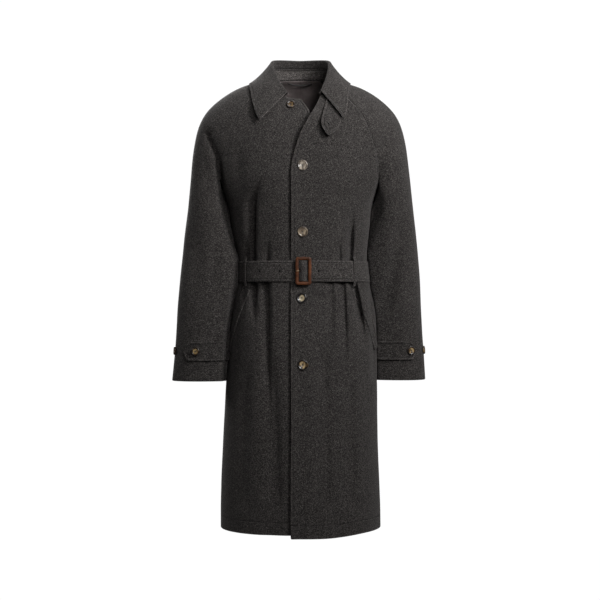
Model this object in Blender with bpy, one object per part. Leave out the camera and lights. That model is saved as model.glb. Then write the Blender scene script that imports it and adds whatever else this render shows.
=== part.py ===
"""Balmacaan coat, worn form held open, front closed and belted.

Metres, +Z up, the front faces -Y, the wearer's left is +X. The origin is in the middle of the neck.
One master surface runs over body and sleeves; every cut piece is a wall of cloth taken from it.
"""
import math

import bmesh
import bpy
import numpy as np
from mathutils import Vector
from mathutils.bvhtree import BVHTree

for thing in list(bpy.data.objects):
    bpy.data.objects.remove(thing)

MM = 0.001
CLOTH = 2.4 * MM            # wool wall, shell and collar
STRAP = 2.2 * MM            # belt, straps, welts
LINING = 1.0 * MM
SEAM = 0.5 * MM             # daylight between two pieces that are sewn together
CROTCH = 0.9 * MM           # half the daylight between body and sleeve at the underarm
SECTION_POWER = 2.3         # roundness of the body's horizontal section, 2 is an ellipse

FRONT_COLUMNS = 24          # raglan seam to raglan seam across the front
BACK_COLUMNS = 14
SLEEVE_COLUMNS = 6          # raglan seam to the over-arm seam
UNDER_COLUMNS = 6           # raglan front to raglan back under the arm
PANEL_COLUMNS = 12          # raglan seam to the opening edge of one front
YOKE_ROWS = 8
YOKE_STEP = 38.0            # mm of cloth between two yoke levels

BELT_TOP, BELT_MID, BELT_BOTTOM = -442.5, -467.75, -493.0
STRAP_TOP, STRAP_MID, STRAP_BOTTOM = -640.0, -663.0, -686.0

# Yoke levels from the neckline down, wearer's left half, mm
YOKE_NAMES = ("centre_front", "mid_front", "raglan_front", "sleeve_front", "top",
              "sleeve_back", "raglan_back", "mid_back", "centre_back")
YOKE = (
    ((0, -92, -46), (48, -75, -34), (72, -47, -16), (79, -25, -3), (80, -2, 7),
     (74, 24, 13), (60, 46, 18), (32, 63, 21), (0, 70, 23)),
    ((0, -110, -76), (55, -98, -60), (103, -71, -29), (118, -40, -8), (124, -2, 2),
     (113, 38, 2), (84, 76, 5), (45, 90, 2), (0, 93, 3)),
    ((0, -121, -108), (66, -112, -92), (133, -84, -54), (157, -48, -29), (168, -1, -15),
     (150, 48, -20), (110, 90, -24), (58, 106, -30), (0, 109, -29)),
    ((0, -128, -140), (78, -121, -124), (156, -91, -86), (192, -54, -60), (207, 0, -42),
     (184, 56, -52), (134, 97, -62), (70, 115, -67), (0, 119, -67)),
    ((0, -133, -173), (90, -127, -158), (175, -94, -128), (221, -58, -97), (240, 2, -75),
     (213, 62, -88), (156, 99, -108), (82, 122, -112), (0, 126, -111)),
    ((0, -136, -207), (100, -130, -197), (189, -89, -180), (241, -61, -146), (260, 5, -120),
     (234, 68, -138), (175, 96, -166), (92, 126, -166), (0, 130, -165)),
    ((0, -138, -245), (106, -131, -241), (196, -70, -238), (250, -66, -214), (270, 8, -192),
     (243, 76, -208), (188, 80, -232), (98, 127, -230), (0, 131, -230)),
)
UNDERARM = ((194, -36, -257), (192, 4, -263), (192, 44, -254))

# Body levels, mm: z, half width at the wearer's right, at the left, depth in front, behind
BODY = (
    (-300, 180, 180, 138, 132),
    (-370, 170, 172, 133, 124),
    (-437, 157, 167, 127, 111),
    (-467.75, 156, 170, 127, 111),
    (-498, 159, 174, 127.3, 112),
    (-560, 171, 188, 135, 124),
    (-629, 177, 191, 143, 138),
    (-700, 182, 192, 149, 148),
    (-800, 188, 193, 156, 158),
    (-900, 193, 194, 160, 165),
    (-1000, 197, 198, 163, 171),
    (-1100, 198, 200, 165, 175),
)
BODY_ROWS = (-270, -300, -330, -360, -390, -418, BELT_TOP, BELT_MID, BELT_BOTTOM, -520, -548,
             -580, -615, -655, -700, -745, -795, -850, -905, -960, -1015, -1060, -1100)
RAGLAN_ANGLE = 67.0         # degrees from the centre front where the raglan column runs on down

# Sleeve levels, mm: z, inner side, outer side, front, back
SLEEVE_RIGHT = (
    (-300, 173, 278, -82, 74),
    (-370, 166, 286, -80, 62),
    (-440, 158, 293, -82, 46),
    (-500, 162, 299, -86, 36),
    (-560, 170, 304, -86, 32),
    (-629, 177, 307, -84, 30),
    (-690, 181, 312, -80, 32),
    (-737, 184, 317, -78, 34),
)
SLEEVE_LEFT = (
    (-300, 173, 283, -66, 86),
    (-370, 166, 292, -54, 88),
    (-440, 164, 299, -42, 88),
    (-500, 170, 303, -34, 88),
    (-560, 180, 305, -28, 90),
    (-629, 184, 309, -24, 90),
    (-690, 187, 314, -22, 90),
    (-737, 190, 317, -22, 90),
)
SLEEVE_CLEAR = 3.5          # mm between a sleeve and the body beside it
SLEEVE_ROWS = (-280, -310, -340, -370, -400, -430, -460, -490, -525, -560, -595,
               STRAP_TOP, STRAP_MID, STRAP_BOTTOM, -712, -737)
SLEEVE_RAGLAN_ANGLE = 128.0

# Opening edges of the two fronts, mm: z, x
TOP_EDGE = ((-1200, -22), (-230, -22), (-213, -21.5), (-175, -12.5), (-135, 0), (-98, 19),
            (-69.5, 38), (-41, 50), (0, 62))
UNDER_EDGE = ((-1200, 32), (-100, 32), (-69.5, 19), (-43, -1), (0, -12))
OVERLAP_RAMP = (-62, -28)   # mm, where the under front sinks behind the top front
COLLAR_ENDS = (-31, 51)     # mm, x of the collar's two ends on the neckline

# Folds of the body, mm: side, x and z at the top, x and z at the bottom, half width, depth
FOLDS = (
    ("front", -114, -290, -107, -425, 12, 5.5),
    ("front", -78, -320, -74, -425, 11, 3.0),
    ("front", 126, -320, 135, -425, 12, 5.0),
    ("front", -103, -512, -106, -585, 11, 6.0),
    ("front", -84, -512, -66, -1200, 15, 6.0),
    ("front", 129, -508, 146, -570, 12, 4.5),
    ("front", 68, -512, 96, -1200, 17, 5.0),
    ("front", 110, -545, 120, -820, 13, -3.0),
    ("back", -95, -512, -122, -1200, 19, 7.0),
    ("back", -30, -512, -38, -1200, 19, 5.5),
    ("back", 36, -512, 46, -1200, 19, 5.5),
    ("back", 98, -512, 126, -1200, 19, 7.0),
    ("back", -60, -300, -54, -425, 16, 3.5),
    ("back", 60, -300, 54, -425, 16, 3.5),
)
FRONT_DROP = 8.0            # mm that the top front hangs lower at the hem

# Collar, mm: neckline, fold, middle of the fall, outer edge
COLLAR = (
    ((-31, -85, -41), (-32, -92, -31), (-64, -104, -66), (-97, -112, -105)),
    ((-52, -68, -29), (-49, -74, -6), (-84, -92, -36), (-110, -99, -77)),
    ((-68, -47, -16), (-60, -50, 20), (-97, -66, -8), (-119, -78, -40)),
    ((-78, -20, -1), (-69, -20, 46), (-102, -28, 14), (-125, -42, -10)),
    ((-79, 8, 9), (-70, 8, 61), (-99, 12, 28), (-126, 10, 4)),
    ((-66, 38, 16), (-60, 34, 68), (-82, 54, 34), (-100, 74, -2)),
    ((-36, 60, 21), (-33, 54, 71), (-43, 82, 38), (-54, 97, -8)),
    ((0, 70, 23), (0, 62, 71), (0, 91, 39), (0, 105, -10)),
    ((36, 60, 21), (34, 54, 71), (44, 82, 38), (54, 97, -8)),
    ((66, 38, 16), (62, 34, 68), (84, 54, 34), (100, 74, -2)),
    ((79, 8, 9), (74, 8, 61), (101, 12, 28), (126, 10, 4)),
    ((78, -20, -1), (73, -20, 44), (104, -28, 14), (124, -42, -8)),
    ((70, -47, -15), (68, -50, 17), (99, -66, -8), (117, -78, -38)),
    ((62, -68, -27), (60, -74, -6), (88, -92, -36), (113, -99, -74)),
    ((51, -86, -38), (52, -92, -28), (79, -104, -64), (106, -112, -104)),
)
COLLAR_STATIONS = 34
STAND_SHARE = 0.45          # part of the rise that is stand, the rest is leaf
ROLL = 5.0 * MM             # radius of the collar's fold

# Throat tab, mm: left x and z, right x and z, row by row down to the point
TAB = (
    ((68, -38), (112, -46)),
    ((61, -56), (107, -64)),
    ((55, -82), (102, -87)),
    ((50, -102), (98, -107)),
    ((47, -118), (95, -125)),
    ((66, -142.5), (70, -142)),
)

# Pocket welt, mm: arc round the body and z of the two ends of the front long edge, then the width
WELT_TOP, WELT_FOOT, WELT_WIDTH, WELT_RADIUS = (152, -514), (212, -662), 27.0, 168.0

# Front buttons, mm: x, z, radius
FRONT_BUTTONS = ((-23, -63, 10.8), (6, -213, 12.8), (6, -373, 12.8), (4, -533, 12.8), (7, -693, 13.2))
CUFF_BUTTON_RADIUS = 10.5
CUFF_BUTTON_INSETS = {"right": 34.7, "left": 16.5}    # from the strap's tip, mm
# Button profile, share of the radius and mm above the cloth
BUTTON_PROFILE = ((0.0, 0.0), (0.9, 0.0), (1.0, 1.6), (0.93, 3.2), (0.8, 3.5), (0.66, 2.5), (0.0, 2.3))
BUTTON_SIDES = 16

# Buckle, mm
BUCKLE_X, BUCKLE_WIDTH, BUCKLE_HEIGHT = 8.0, 39.0, 68.0
BUCKLE_BAR, BUCKLE_DEPTH, BUCKLE_CORNER = 7.0, 5.0, 7.0
BUCKLE_LIFT = 8.9           # middle of the frame above the coat
BAR_LIFT, BAR_RADIUS = 5.5, 1.3
# Belt in the buckle, mm: x, height of the strap's middle above the coat
BELT_LOOP_RUN = ((14.6, 6.0), (11.5, 7.8), (8.8, 8.3), (6.6, 7.9), (5.3, 6.6), (5.0, 5.3),
                 (5.5, 3.9), (7.0, 2.9), (9.5, 2.45), (14.0, 2.0), (21.0, 1.7))
BELT_RISE_RUN = ((-13.0, 1.7), (-8.0, 2.2), (-4.6, 3.6), (-1.2, 5.9), (0.4, 7.1), (2.2, 8.6),
                 (4.8, 10.3), (8.0, 11.1), (11.2, 10.6), (14.5, 8.8), (17.4, 6.3), (20.4, 4.6),
                 (28.0, 4.3))
BELT_LAYER, BELT_OVER = 1.7, 4.3
BELT_TIP_X = 126.0
BELT_HOLES = (-138.7, -98.0, -49.0, 44.3, 95.3)
HOLE_RADIUS = 2.4
LOOP_X, LOOP_WIDTH = 131.5, 8.0

# Hanger loop, mm
HANGER_HALF, HANGER_SAG, HANGER_THICK, HANGER_WIDE = 32.0, 5.0, 1.8, 4.6


def smooth(value):
    """Ease from 0 to 1."""
    value = np.clip(value, 0.0, 1.0)
    return value * value * (3.0 - 2.0 * value)


def unit(vector):
    length = np.linalg.norm(vector, axis=-1, keepdims=True)
    return vector / np.where(length > 1e-12, length, 1.0)


def cubic(knots, values, at):
    """Smooth curve through values at knots, read at the places in at."""
    knots, values, at = np.asarray(knots, float), np.asarray(values, float), np.atleast_1d(at)
    shape = (-1,) + (1,) * (values.ndim - 1)
    step = np.diff(knots).reshape(shape)
    slope = np.diff(values, axis=0) / step
    tangent = np.empty_like(values)
    tangent[1:-1] = (step[1:] * slope[:-1] + step[:-1] * slope[1:]) / (step[1:] + step[:-1])
    tangent[0] = 1.5 * slope[0] - 0.5 * tangent[1]
    tangent[-1] = 1.5 * slope[-1] - 0.5 * tangent[-2]
    cell = np.clip(np.searchsorted(knots, at, side="right") - 1, 0, len(knots) - 2)
    width = step[cell]
    t = (np.asarray(at).reshape(shape) - knots[cell].reshape(shape)) / width
    return ((2 * t**3 - 3 * t**2 + 1) * values[cell] + (t**3 - 2 * t**2 + t) * width * tangent[cell]
            + (3 * t**2 - 2 * t**3) * values[cell + 1] + (t**3 - t**2) * width * tangent[cell + 1])


def chord(points):
    """Length along a run of points."""
    return np.concatenate(([0.0], np.cumsum(np.linalg.norm(np.diff(points, axis=0), axis=1))))


def run_through(points, count):
    """Even points on the smooth curve through a few points."""
    knots = chord(np.asarray(points, float))
    return cubic(knots, points, np.linspace(0.0, knots[-1], count + 1))


def section_arc(level, start, end, count):
    """Even points on the body's section between two angles, 0 in front and +90 at the wearer's left."""
    z, right, left, front, back = level
    angle = np.radians(np.linspace(start, end, 361))
    sine, cosine = np.sin(angle), np.cos(angle)
    power = 2.0 / SECTION_POWER
    x = np.where(sine > 0, left, right) * np.sign(sine) * np.abs(sine) ** power
    y = -np.where(cosine > 0, front, back) * np.sign(cosine) * np.abs(cosine) ** power
    curve = np.stack([x, y, np.full_like(x, z)], axis=1)
    knots = chord(curve)
    at = np.linspace(0.0, knots[-1], count + 1)
    return np.stack([np.interp(at, knots, curve[:, k]) for k in range(3)], axis=1)


def sleeve_arc(level, side, angles):
    """Points on a sleeve's section, angle 0 outside and 90 in front."""
    z, inner, outer, front, back = level
    angle = np.radians(angles)
    x = side * ((inner + outer) / 2 + (outer - inner) / 2 * np.cos(angle))
    y = (front + back) / 2 - (back - front) / 2 * np.sin(angle)
    return np.stack([x, y, np.full_like(x, z)], axis=1)


def named(level, name, side=1):
    x, y, z = level[YOKE_NAMES.index(name)]
    return (side * x, y, z)


def across(level, names):
    """Points of one level from the wearer's right to the left through the named points."""
    return [named(level, n, -1) for n in names[:0:-1]] + [named(level, n) for n in names]


def fold_shift(side, x, z):
    """How far the folds press the cloth in, mm."""
    shift = 0.0
    for where, x0, z0, x1, z1, width, depth in FOLDS:
        if where != side:
            continue
        t = (z - z0) / (z1 - z0)
        line = x0 + (x1 - x0) * np.clip(t, 0, 1)
        ends = smooth(t / 0.18 + 0.5) * smooth((1.0 - t) / 0.18 + 0.5)
        shift = shift + depth * ends * np.exp(-(((x - line) / width) ** 2))
    return shift


def body_grids():
    """Master grids of the body, mm: front and back with the yoke, the two sides below the arm."""
    yoke_knots = [YOKE_STEP * k for k in range(len(YOKE))]
    start = yoke_knots[-1]
    drop = [start + (-243.0 - level[0]) for level in BODY]
    rows = list(np.linspace(0.0, start, YOKE_ROWS + 1)) + [start + (-243.0 - z) for z in BODY_ROWS]
    angle = RAGLAN_ANGLE
    front = [run_through(across(level, ("centre_front", "mid_front", "raglan_front")), FRONT_COLUMNS)
             for level in YOKE]
    front += [section_arc(level, -angle, angle, FRONT_COLUMNS) for level in BODY]
    back = [run_through(across(level, ("centre_back", "mid_back", "raglan_back")), BACK_COLUMNS)[::-1]
            for level in YOKE]
    back += [section_arc(level, 180 - angle, 180 + angle, BACK_COLUMNS) for level in BODY]
    grids = {"front": cubic(yoke_knots + drop, front, rows), "back": cubic(yoke_knots + drop, back, rows)}
    for side in (-1, 1):
        levels = [under_curve(side)]
        levels += [section_arc(level, side * angle, side * (180 - angle), UNDER_COLUMNS) for level in BODY]
        grids["side", side] = cubic([start] + drop, levels, rows[YOKE_ROWS:])
    for name in ("front", "back"):
        grid = grids[name]
        grids["plain", name] = grid.copy()
        inward = unit(-grid * (1, 1, 0))
        grid += inward * fold_shift(name, grid[..., 0], grid[..., 2])[..., None]
    return grids


def body_width(y, z, side):
    """Half width of the body at a depth and height."""
    level = cubic([-b[0] for b in BODY], np.array(BODY, float), -np.clip(z, BODY[-1][0], BODY[0][0]))
    wide = level[..., 1] if side < 0 else level[..., 2]
    deep = np.where(y < 0, level[..., 3], level[..., 4])
    inside = np.clip(1 - (np.abs(y) / deep) ** SECTION_POWER, 0, 1)
    return wide * inside ** (1 / SECTION_POWER) + 0.6 * np.maximum(z - BODY[0][0], 0.0)


def clear_of_body(grid, first, side):
    """Push the inner side of a sleeve out until it is clear of the body beside it."""
    flat = grid[first:].reshape(-1, 3)
    least = body_width(flat[:, 1], flat[:, 2], side) + SLEEVE_CLEAR
    near = side * flat[:, 0]
    flat[:, 0] = side * np.where(near < least, least, near)
    grid[first:] = flat.reshape(grid[first:].shape)


def under_curve(side):
    last = YOKE[-1]
    points = [named(last, "raglan_front", side)]
    points += [(side * x, y, z) for x, y, z in UNDERARM]
    return run_through(points + [named(last, "raglan_back", side)], UNDER_COLUMNS)


def sleeve_grids(side, table):
    """Master grids of a sleeve, mm: over the arm from raglan front to back, and under the arm."""
    yoke_knots = [YOKE_STEP * k for k in range(len(YOKE))]
    start = yoke_knots[-1]
    drop = [start + (-232.0 - level[0]) for level in table]
    rows = list(np.linspace(0.0, start, YOKE_ROWS + 1)) + [start + (-232.0 - z) for z in SLEEVE_ROWS]
    names = ("raglan_front", "sleeve_front", "top", "sleeve_back", "raglan_back")
    over = []
    for level in YOKE:
        points = np.array([named(level, n, side) for n in names], float)
        knots = chord(points)
        at = np.concatenate([np.linspace(0, knots[2], SLEEVE_COLUMNS + 1),
                             np.linspace(knots[2], knots[4], SLEEVE_COLUMNS + 1)[1:]])
        over.append(cubic(knots, points, at))
    turn = SLEEVE_RAGLAN_ANGLE
    over += [sleeve_arc(level, side, np.linspace(turn, -turn, 2 * SLEEVE_COLUMNS + 1)) for level in table]
    under = [under_curve(side)]
    under += [sleeve_arc(level, side, np.linspace(turn, 360 - turn, UNDER_COLUMNS + 1)) for level in table]
    above, below = cubic(yoke_knots + drop, over, rows), cubic([start] + drop, under, rows[YOKE_ROWS:])
    clear_of_body(above, YOKE_ROWS + 1, side)
    clear_of_body(below, 1, side)
    return above, below


def key(point):
    return tuple(int(round(v * 1000)) for v in point)


def add_normals(store, grid, flip):
    """Add the face normals of a grid to every corner they touch."""
    for r in range(grid.shape[0] - 1):
        for c in range(grid.shape[1] - 1):
            a, b, d, e = grid[r, c], grid[r, c + 1], grid[r + 1, c + 1], grid[r + 1, c]
            normal = np.cross(d - a, e - b) * (1.0 if flip else -1.0)
            for corner in (a, b, d, e):
                store[key(corner)] = store.get(key(corner), 0.0) + normal


def read_normals(store, grid):
    return unit(np.array([[store[key(p)] for p in row] for row in grid]))


def quads_of(keep):
    """Grid cells whose four corners are all kept."""
    rows, columns = keep.shape
    return [(r, c) for r in range(rows - 1) for c in range(columns - 1)
            if keep[r, c] and keep[r, c + 1] and keep[r + 1, c] and keep[r + 1, c + 1]]


def pull_in(points, normals, cells, amount):
    """Move the outline of a grid piece a little into the piece."""
    count = np.zeros(points.shape[:2])
    middle = np.zeros_like(points)
    for r, c in cells:
        centre = points[r:r + 2, c:c + 2].reshape(4, 3).mean(axis=0)
        for i, j in ((r, c), (r, c + 1), (r + 1, c), (r + 1, c + 1)):
            middle[i, j] += unit(centre - points[i, j])
            count[i, j] += 1
    moved = points.copy()
    for i, j in zip(*np.nonzero((count > 0) & (count < 4))):
        way = middle[i, j] - normals[i, j] * np.dot(middle[i, j], normals[i, j])
        moved[i, j] += unit(way) * amount * (1.4 if count[i, j] in (1, 3) else 1.0)
    return moved


def wall(name, outer, inner, cells, colour):
    """Closed body between two faces that share one grid."""
    mesh = bpy.data.meshes.new(name)
    body = bmesh.new()
    found = {}

    def vertex(face, r, c):
        if (face, r, c) not in found:
            point = (outer, inner)[face][r, c]
            found[face, r, c] = body.verts.new(Vector(point))
        return found[face, r, c]

    edges = {}
    for r, c in cells:
        ring = [(r, c), (r, c + 1), (r + 1, c + 1), (r + 1, c)]
        body.faces.new([vertex(0, *p) for p in ring])
        body.faces.new([vertex(1, *p) for p in ring[:1] + ring[:0:-1]])
        for a, b in zip(ring, ring[1:] + ring[:1]):
            edges[a, b] = True
    for a, b in edges:
        if (b, a) not in edges:
            body.faces.new([vertex(0, *b), vertex(0, *a), vertex(1, *a), vertex(1, *b)])
    finish(name, body, mesh, colour)


def finish(name, body, mesh, colour):
    """Weld, face outward and hand the body over as a node with its own material."""
    bmesh.ops.remove_doubles(body, verts=body.verts[:], dist=1e-6)
    bmesh.ops.recalc_face_normals(body, faces=body.faces[:])
    if body.calc_volume(signed=True) < 0:
        bmesh.ops.reverse_faces(body, faces=body.faces[:])
    body.to_mesh(mesh)
    body.free()
    material = bpy.data.materials.new(name)
    material.use_nodes = True
    shader = material.node_tree.nodes["Principled BSDF"]
    shader.inputs["Base Color"].default_value = (*colour, 1.0)
    shader.inputs["Roughness"].default_value = 0.9
    mesh.materials.append(material)
    node = bpy.data.objects.new(name, mesh)
    bpy.context.scene.collection.objects.link(node)
    return node


WOOL = (0.045, 0.042, 0.040)
SATIN = (0.030, 0.026, 0.025)
LEATHER = (0.110, 0.045, 0.025)
HORN = (0.300, 0.240, 0.180)
BRASS = (0.500, 0.420, 0.250)

grids = body_grids()
body_store, sleeve_store, shared = {}, {}, {}
for name, flip in (("front", False), ("back", False), (("side", 1), False), (("side", -1), True)):
    add_normals(body_store, grids[name], flip)
over, under = {}, {}
for side, table in ((-1, SLEEVE_RIGHT), (1, SLEEVE_LEFT)):
    over[side], under[side] = sleeve_grids(side, table)
    add_normals(sleeve_store, over[side], side < 0)
    add_normals(sleeve_store, under[side], side > 0)
for store in (body_store, sleeve_store):
    for place, normal in store.items():
        shared[place] = shared.get(place, 0.0) + normal


def own_seam(points, normals, row, columns, store):
    """Underarm edge: body and sleeve lie back to back there, so each keeps its own normal."""
    for c in columns:
        normal = unit(np.asarray(store[key(points[row, c])]))
        normals[row, c] = normal
        points[row, c] -= normal * CROTCH / MM


panel_normals = {}


def cloth_wall(name, points, normals, cells):
    """A cut piece in metres from master points in mm; the drawn face is the outer one."""
    outer = pull_in(points, normals, cells, SEAM / 2 / MM) * MM
    wall(name, outer, outer - normals * CLOTH, cells, WOOL)
    panel_normals[name] = normals
    return outer


def edge_place(row, edge, from_left):
    """Column places along one row of the front grid, from the raglan seam to the opening edge."""
    fine = np.linspace(0, FRONT_COLUMNS, 1201)
    line = cubic(np.arange(FRONT_COLUMNS + 1), row, fine)
    zs, xs = zip(*edge)
    ahead = line[:, 0] - np.interp(line[:, 2], zs, xs)
    place = fine[np.argmax(ahead > 0)]
    ends = (0, place) if from_left else (place, FRONT_COLUMNS)
    return np.linspace(*ends, PANEL_COLUMNS + 1)


def join_side(main, side, before):
    """Put the side columns below the arm next to a grid that starts at the neck."""
    blank = np.full((YOKE_ROWS, side.shape[1], 3), np.nan)
    tall = np.concatenate([blank, side])
    return np.concatenate([tall, main] if before else [main, tall], axis=1)


def body_panels():
    front, back = grids["front"], grids["back"]
    front_n, back_n = read_normals(shared, front), read_normals(shared, back)
    half = UNDER_COLUMNS // 2
    outers = {}
    for name, edge, side in (("front_right", UNDER_EDGE, -1), ("front_left", TOP_EDGE, 1)):
        places = [edge_place(row, edge, side < 0) for row in front]
        at = np.arange(FRONT_COLUMNS + 1)
        main = np.array([cubic(at, row, p) for row, p in zip(front, places)])
        main_n = unit(np.array([cubic(at, row, p) for row, p in zip(front_n, places)]))
        if side < 0:
            sink = smooth((main[..., 0] - OVERLAP_RAMP[0]) / (OVERLAP_RAMP[1] - OVERLAP_RAMP[0]))
            main -= main_n * (sink * (CLOTH / MM + 0.6))[..., None]
        else:
            near = 1 - smooth((main[..., 0] - main[:, :1, 0]) / 60.0)
            main += main_n * (4.0 * near * smooth((main[..., 2] + 215) / 120.0))[..., None]
            hang = smooth((-main[..., 2] - 950) / 150) * smooth(1.6 - main[..., 0] / 110)
            main[..., 2] -= FRONT_DROP * hang
        flank = grids["side", side][:, :half + 1] if side > 0 else grids["side", side][:, half::-1]
        flank_n = read_normals(shared, flank)
        flank = flank.copy()
        columns = range(1, half + 1) if side > 0 else range(0, half)
        own_seam(flank, flank_n, 0, columns, body_store)
        cut, cut_n = (flank[:, 1:], flank_n[:, 1:]) if side > 0 else (flank[:, :-1], flank_n[:, :-1])
        points = join_side(main, cut, side < 0)
        normals = join_side(main_n, cut_n, side < 0)
        cells = quads_of(~np.isnan(points[..., 0]))
        outers[name] = (cloth_wall(name, points, normals, cells), cells)
    points, normals = back, back_n
    for side in (1, -1):
        flank = grids["side", side][:, half:] if side > 0 else grids["side", side][:, :half - 1:-1]
        flank_n = read_normals(shared, flank)
        flank = flank.copy()
        own_seam(flank, flank_n, 0, range(0, half) if side > 0 else range(1, half + 1), body_store)
        cut, cut_n = (flank[:, :-1], flank_n[:, :-1]) if side > 0 else (flank[:, 1:], flank_n[:, 1:])
        points, normals = join_side(points, cut, side > 0), join_side(normals, cut_n, side > 0)
    cells = quads_of(~np.isnan(points[..., 0]))
    outers["back"] = (cloth_wall("back", points, normals, cells), cells)
    return outers


def sleeve_panels():
    half = UNDER_COLUMNS // 2
    outers = {}
    for side, word in ((-1, "right"), (1, "left")):
        above, below = over[side], under[side]
        above_n, below_n = read_normals(shared, above), read_normals(shared, below)
        below = below.copy()
        own_seam(below, below_n, 0, range(1, UNDER_COLUMNS), sleeve_store)
        pieces = {
            "front": (above[:, :SLEEVE_COLUMNS + 1], above_n[:, :SLEEVE_COLUMNS + 1],
                      below[:, half:0:-1], below_n[:, half:0:-1], True),
            "back": (above[:, SLEEVE_COLUMNS:], above_n[:, SLEEVE_COLUMNS:],
                     below[:, -2:half - 1:-1], below_n[:, -2:half - 1:-1], False),
        }
        for part, (main, main_n, cut, cut_n, before) in pieces.items():
            points, normals = join_side(main, cut, before), join_side(main_n, cut_n, before)
            cells = quads_of(~np.isnan(points[..., 0]))
            name = f"sleeve_{word}_{part}"
            outers[name] = (cloth_wall(name, points, normals, cells), cells)
    return outers


outers = body_panels()
outers.update(sleeve_panels())


def tree_of(names):
    """Search tree over the outer faces of some panels."""
    verts, faces = [], []
    for name in names:
        outer, cells = outers[name]
        start, columns = len(verts), outer.shape[1]
        verts += [Vector(np.nan_to_num(p)) for p in outer.reshape(-1, 3)]
        faces += [[start + i * columns + j for i, j in ((r, c), (r, c + 1), (r + 1, c + 1), (r + 1, c))]
                  for r, c in cells]
    return BVHTree.FromPolygons(verts, faces)


coat_tree = tree_of(outers)
front_tree = tree_of(["front_left", "front_right"])


def on_front(x, z, tree=None):
    """Point of the coat seen from the front at x and z, with the normal there."""
    place, normal, _, _ = (tree or front_tree).ray_cast(Vector((x, -1.0, z)), Vector((0, 1, 0)))
    if normal.y > 0:
        normal = -normal
    return np.array(place), np.array(normal)


def on_flank(arc, z, side):
    """Point of the front seen towards the body's axis, arc mm round from the centre front."""
    angle = arc / WELT_RADIUS
    way = np.array((side * math.sin(angle), -math.cos(angle), 0.0))
    place, normal, _, _ = front_tree.ray_cast(Vector(way + (0, 0, z * MM)), Vector(-way))
    normal = np.array(normal)
    return np.array(place), normal if np.dot(normal, way) > 0 else -normal


def lift(point, clear):
    """Push a point outward until it is clear of the coat's shell."""
    place, normal, _, _ = coat_tree.find_nearest(Vector(point))
    place, normal = np.array(place), np.array(normal)
    if np.dot(normal, place - np.array((0, 0, place[2]))) < 0 and abs(normal[2]) < 0.8:
        normal = -normal
    if normal[2] < -0.8:
        normal = -normal
    height = np.dot(point - place, normal)
    return point + normal * max(0.0, clear - height)


def grid_normals(points, outside):
    """Unit normals of a grid, turned to the side of the given rough direction."""
    along = np.gradient(points, axis=1)
    down = np.gradient(points, axis=0)
    normal = unit(np.cross(along, down))
    if np.nansum(normal * outside) < 0:
        normal = -normal
    return normal


def collar():
    """Stand and leaf, lofted along the neckline from the wearer's right end to the left one."""
    first = outers["front_right"][0][0, :UNDER_COLUMNS // 2 - 1:-1]
    first = first[first[:, 0] <= COLLAR_ENDS[0] * MM]
    last = outers["front_left"][0][0]
    last = last[~np.isnan(last[:, 0])]
    last = last[last[:, 0] > COLLAR_ENDS[1] * MM][::-1]
    back = outers["back"][0][0]
    back = back[~np.isnan(back[:, 0])][::-1]
    sleeves = {}
    for word in ("right", "left"):
        front = outers[f"sleeve_{word}_front"][0][0]
        rear = outers[f"sleeve_{word}_back"][0][0]
        sleeves[word] = np.concatenate([front[~np.isnan(front[:, 0])], rear[~np.isnan(rear[:, 0])][1:]])
    neck = np.concatenate([first, sleeves["right"][1:], back[1:], sleeves["left"][::-1][1:], last[1:]])
    knots = chord(neck)
    total = knots[-1]
    table = np.array(COLLAR, float) * MM
    place = chord(table[:, 0]) / chord(table[:, 0])[-1] * total
    at = np.linspace(0, total, COLLAR_STATIONS + 1)
    line = np.stack([np.interp(at, knots, neck[:, k]) for k in range(3)], axis=1)
    fold, middle, edge = (cubic(place, table[:, k], at) for k in (1, 2, 3))
    out = unit((edge - fold) * (1, 1, 0))
    up = unit(fold - line)
    base = line + up * SEAM * 1.6
    seam = line + (fold - line) * STAND_SHARE
    stand = np.array([base, (base + seam) / 2, seam])
    inward = grid_normals(stand, -out[None])
    cells = quads_of(np.ones(stand.shape[:2], bool))
    wall("collar_stand", stand, stand + inward * CLOTH, cells, WOOL)
    rise = np.linalg.norm(fold - line, axis=1)[:, None]
    radius = np.minimum(ROLL, 0.33 * rise)
    start = seam + up * SEAM + inward[2] * CLOTH
    down = np.array((0.0, 0.0, -1.0))
    rows = [start]
    inner_fold = fold - out * radius + down * radius
    rows.append((start + inner_fold) / 2)
    for angle in (180, 135, 90, 45, 0):
        turn = math.radians(angle)
        rows.append(fold + down * radius * (1 - math.sin(turn)) + out * radius * math.cos(turn))
    turn = rows[-1]
    knots3 = np.array([0.0, 0.5, 1.0])
    fall = cubic(knots3, np.array([turn, middle, edge]), np.linspace(0, 1, 6)[1:])
    for k, row in enumerate(fall):
        need = np.full(len(row), CLOTH + 1.2 * MM)
        over_tab = smooth((row[:, 0] - 0.036) / 0.012) * smooth((-row[:, 1] - 0.030) / 0.03)
        need = need + over_tab * (CLOTH + 2.4 * MM)
        if k > 0:
            row = np.array([lift(p, n) for p, n in zip(row, need)])
        rows.append(row)
    leaf = np.array(rows)
    flat_out = np.where((np.arange(len(leaf)) < 3)[:, None, None], -out[None], out[None])
    along = np.gradient(leaf, axis=1)
    across_rows = np.gradient(leaf, axis=0)
    normal = unit(np.cross(along, across_rows))
    if np.sum(normal * flat_out) < 0:
        normal = -normal
    under_side = leaf - normal * CLOTH
    under_side[0] = seam + up * SEAM
    under_side[1] = (under_side[0] + under_side[2]) / 2
    for k in range(9, len(leaf)):
        shift = np.array([lift(p, 1.7 * MM) - p for p in under_side[k]])
        under_side[k] += shift
        leaf[k] += shift
    wall("collar_leaf", leaf, under_side, quads_of(np.ones(leaf.shape[:2], bool)), WOOL)
    return line, up, inward


neckline, neck_up, neck_in = collar()


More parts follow.
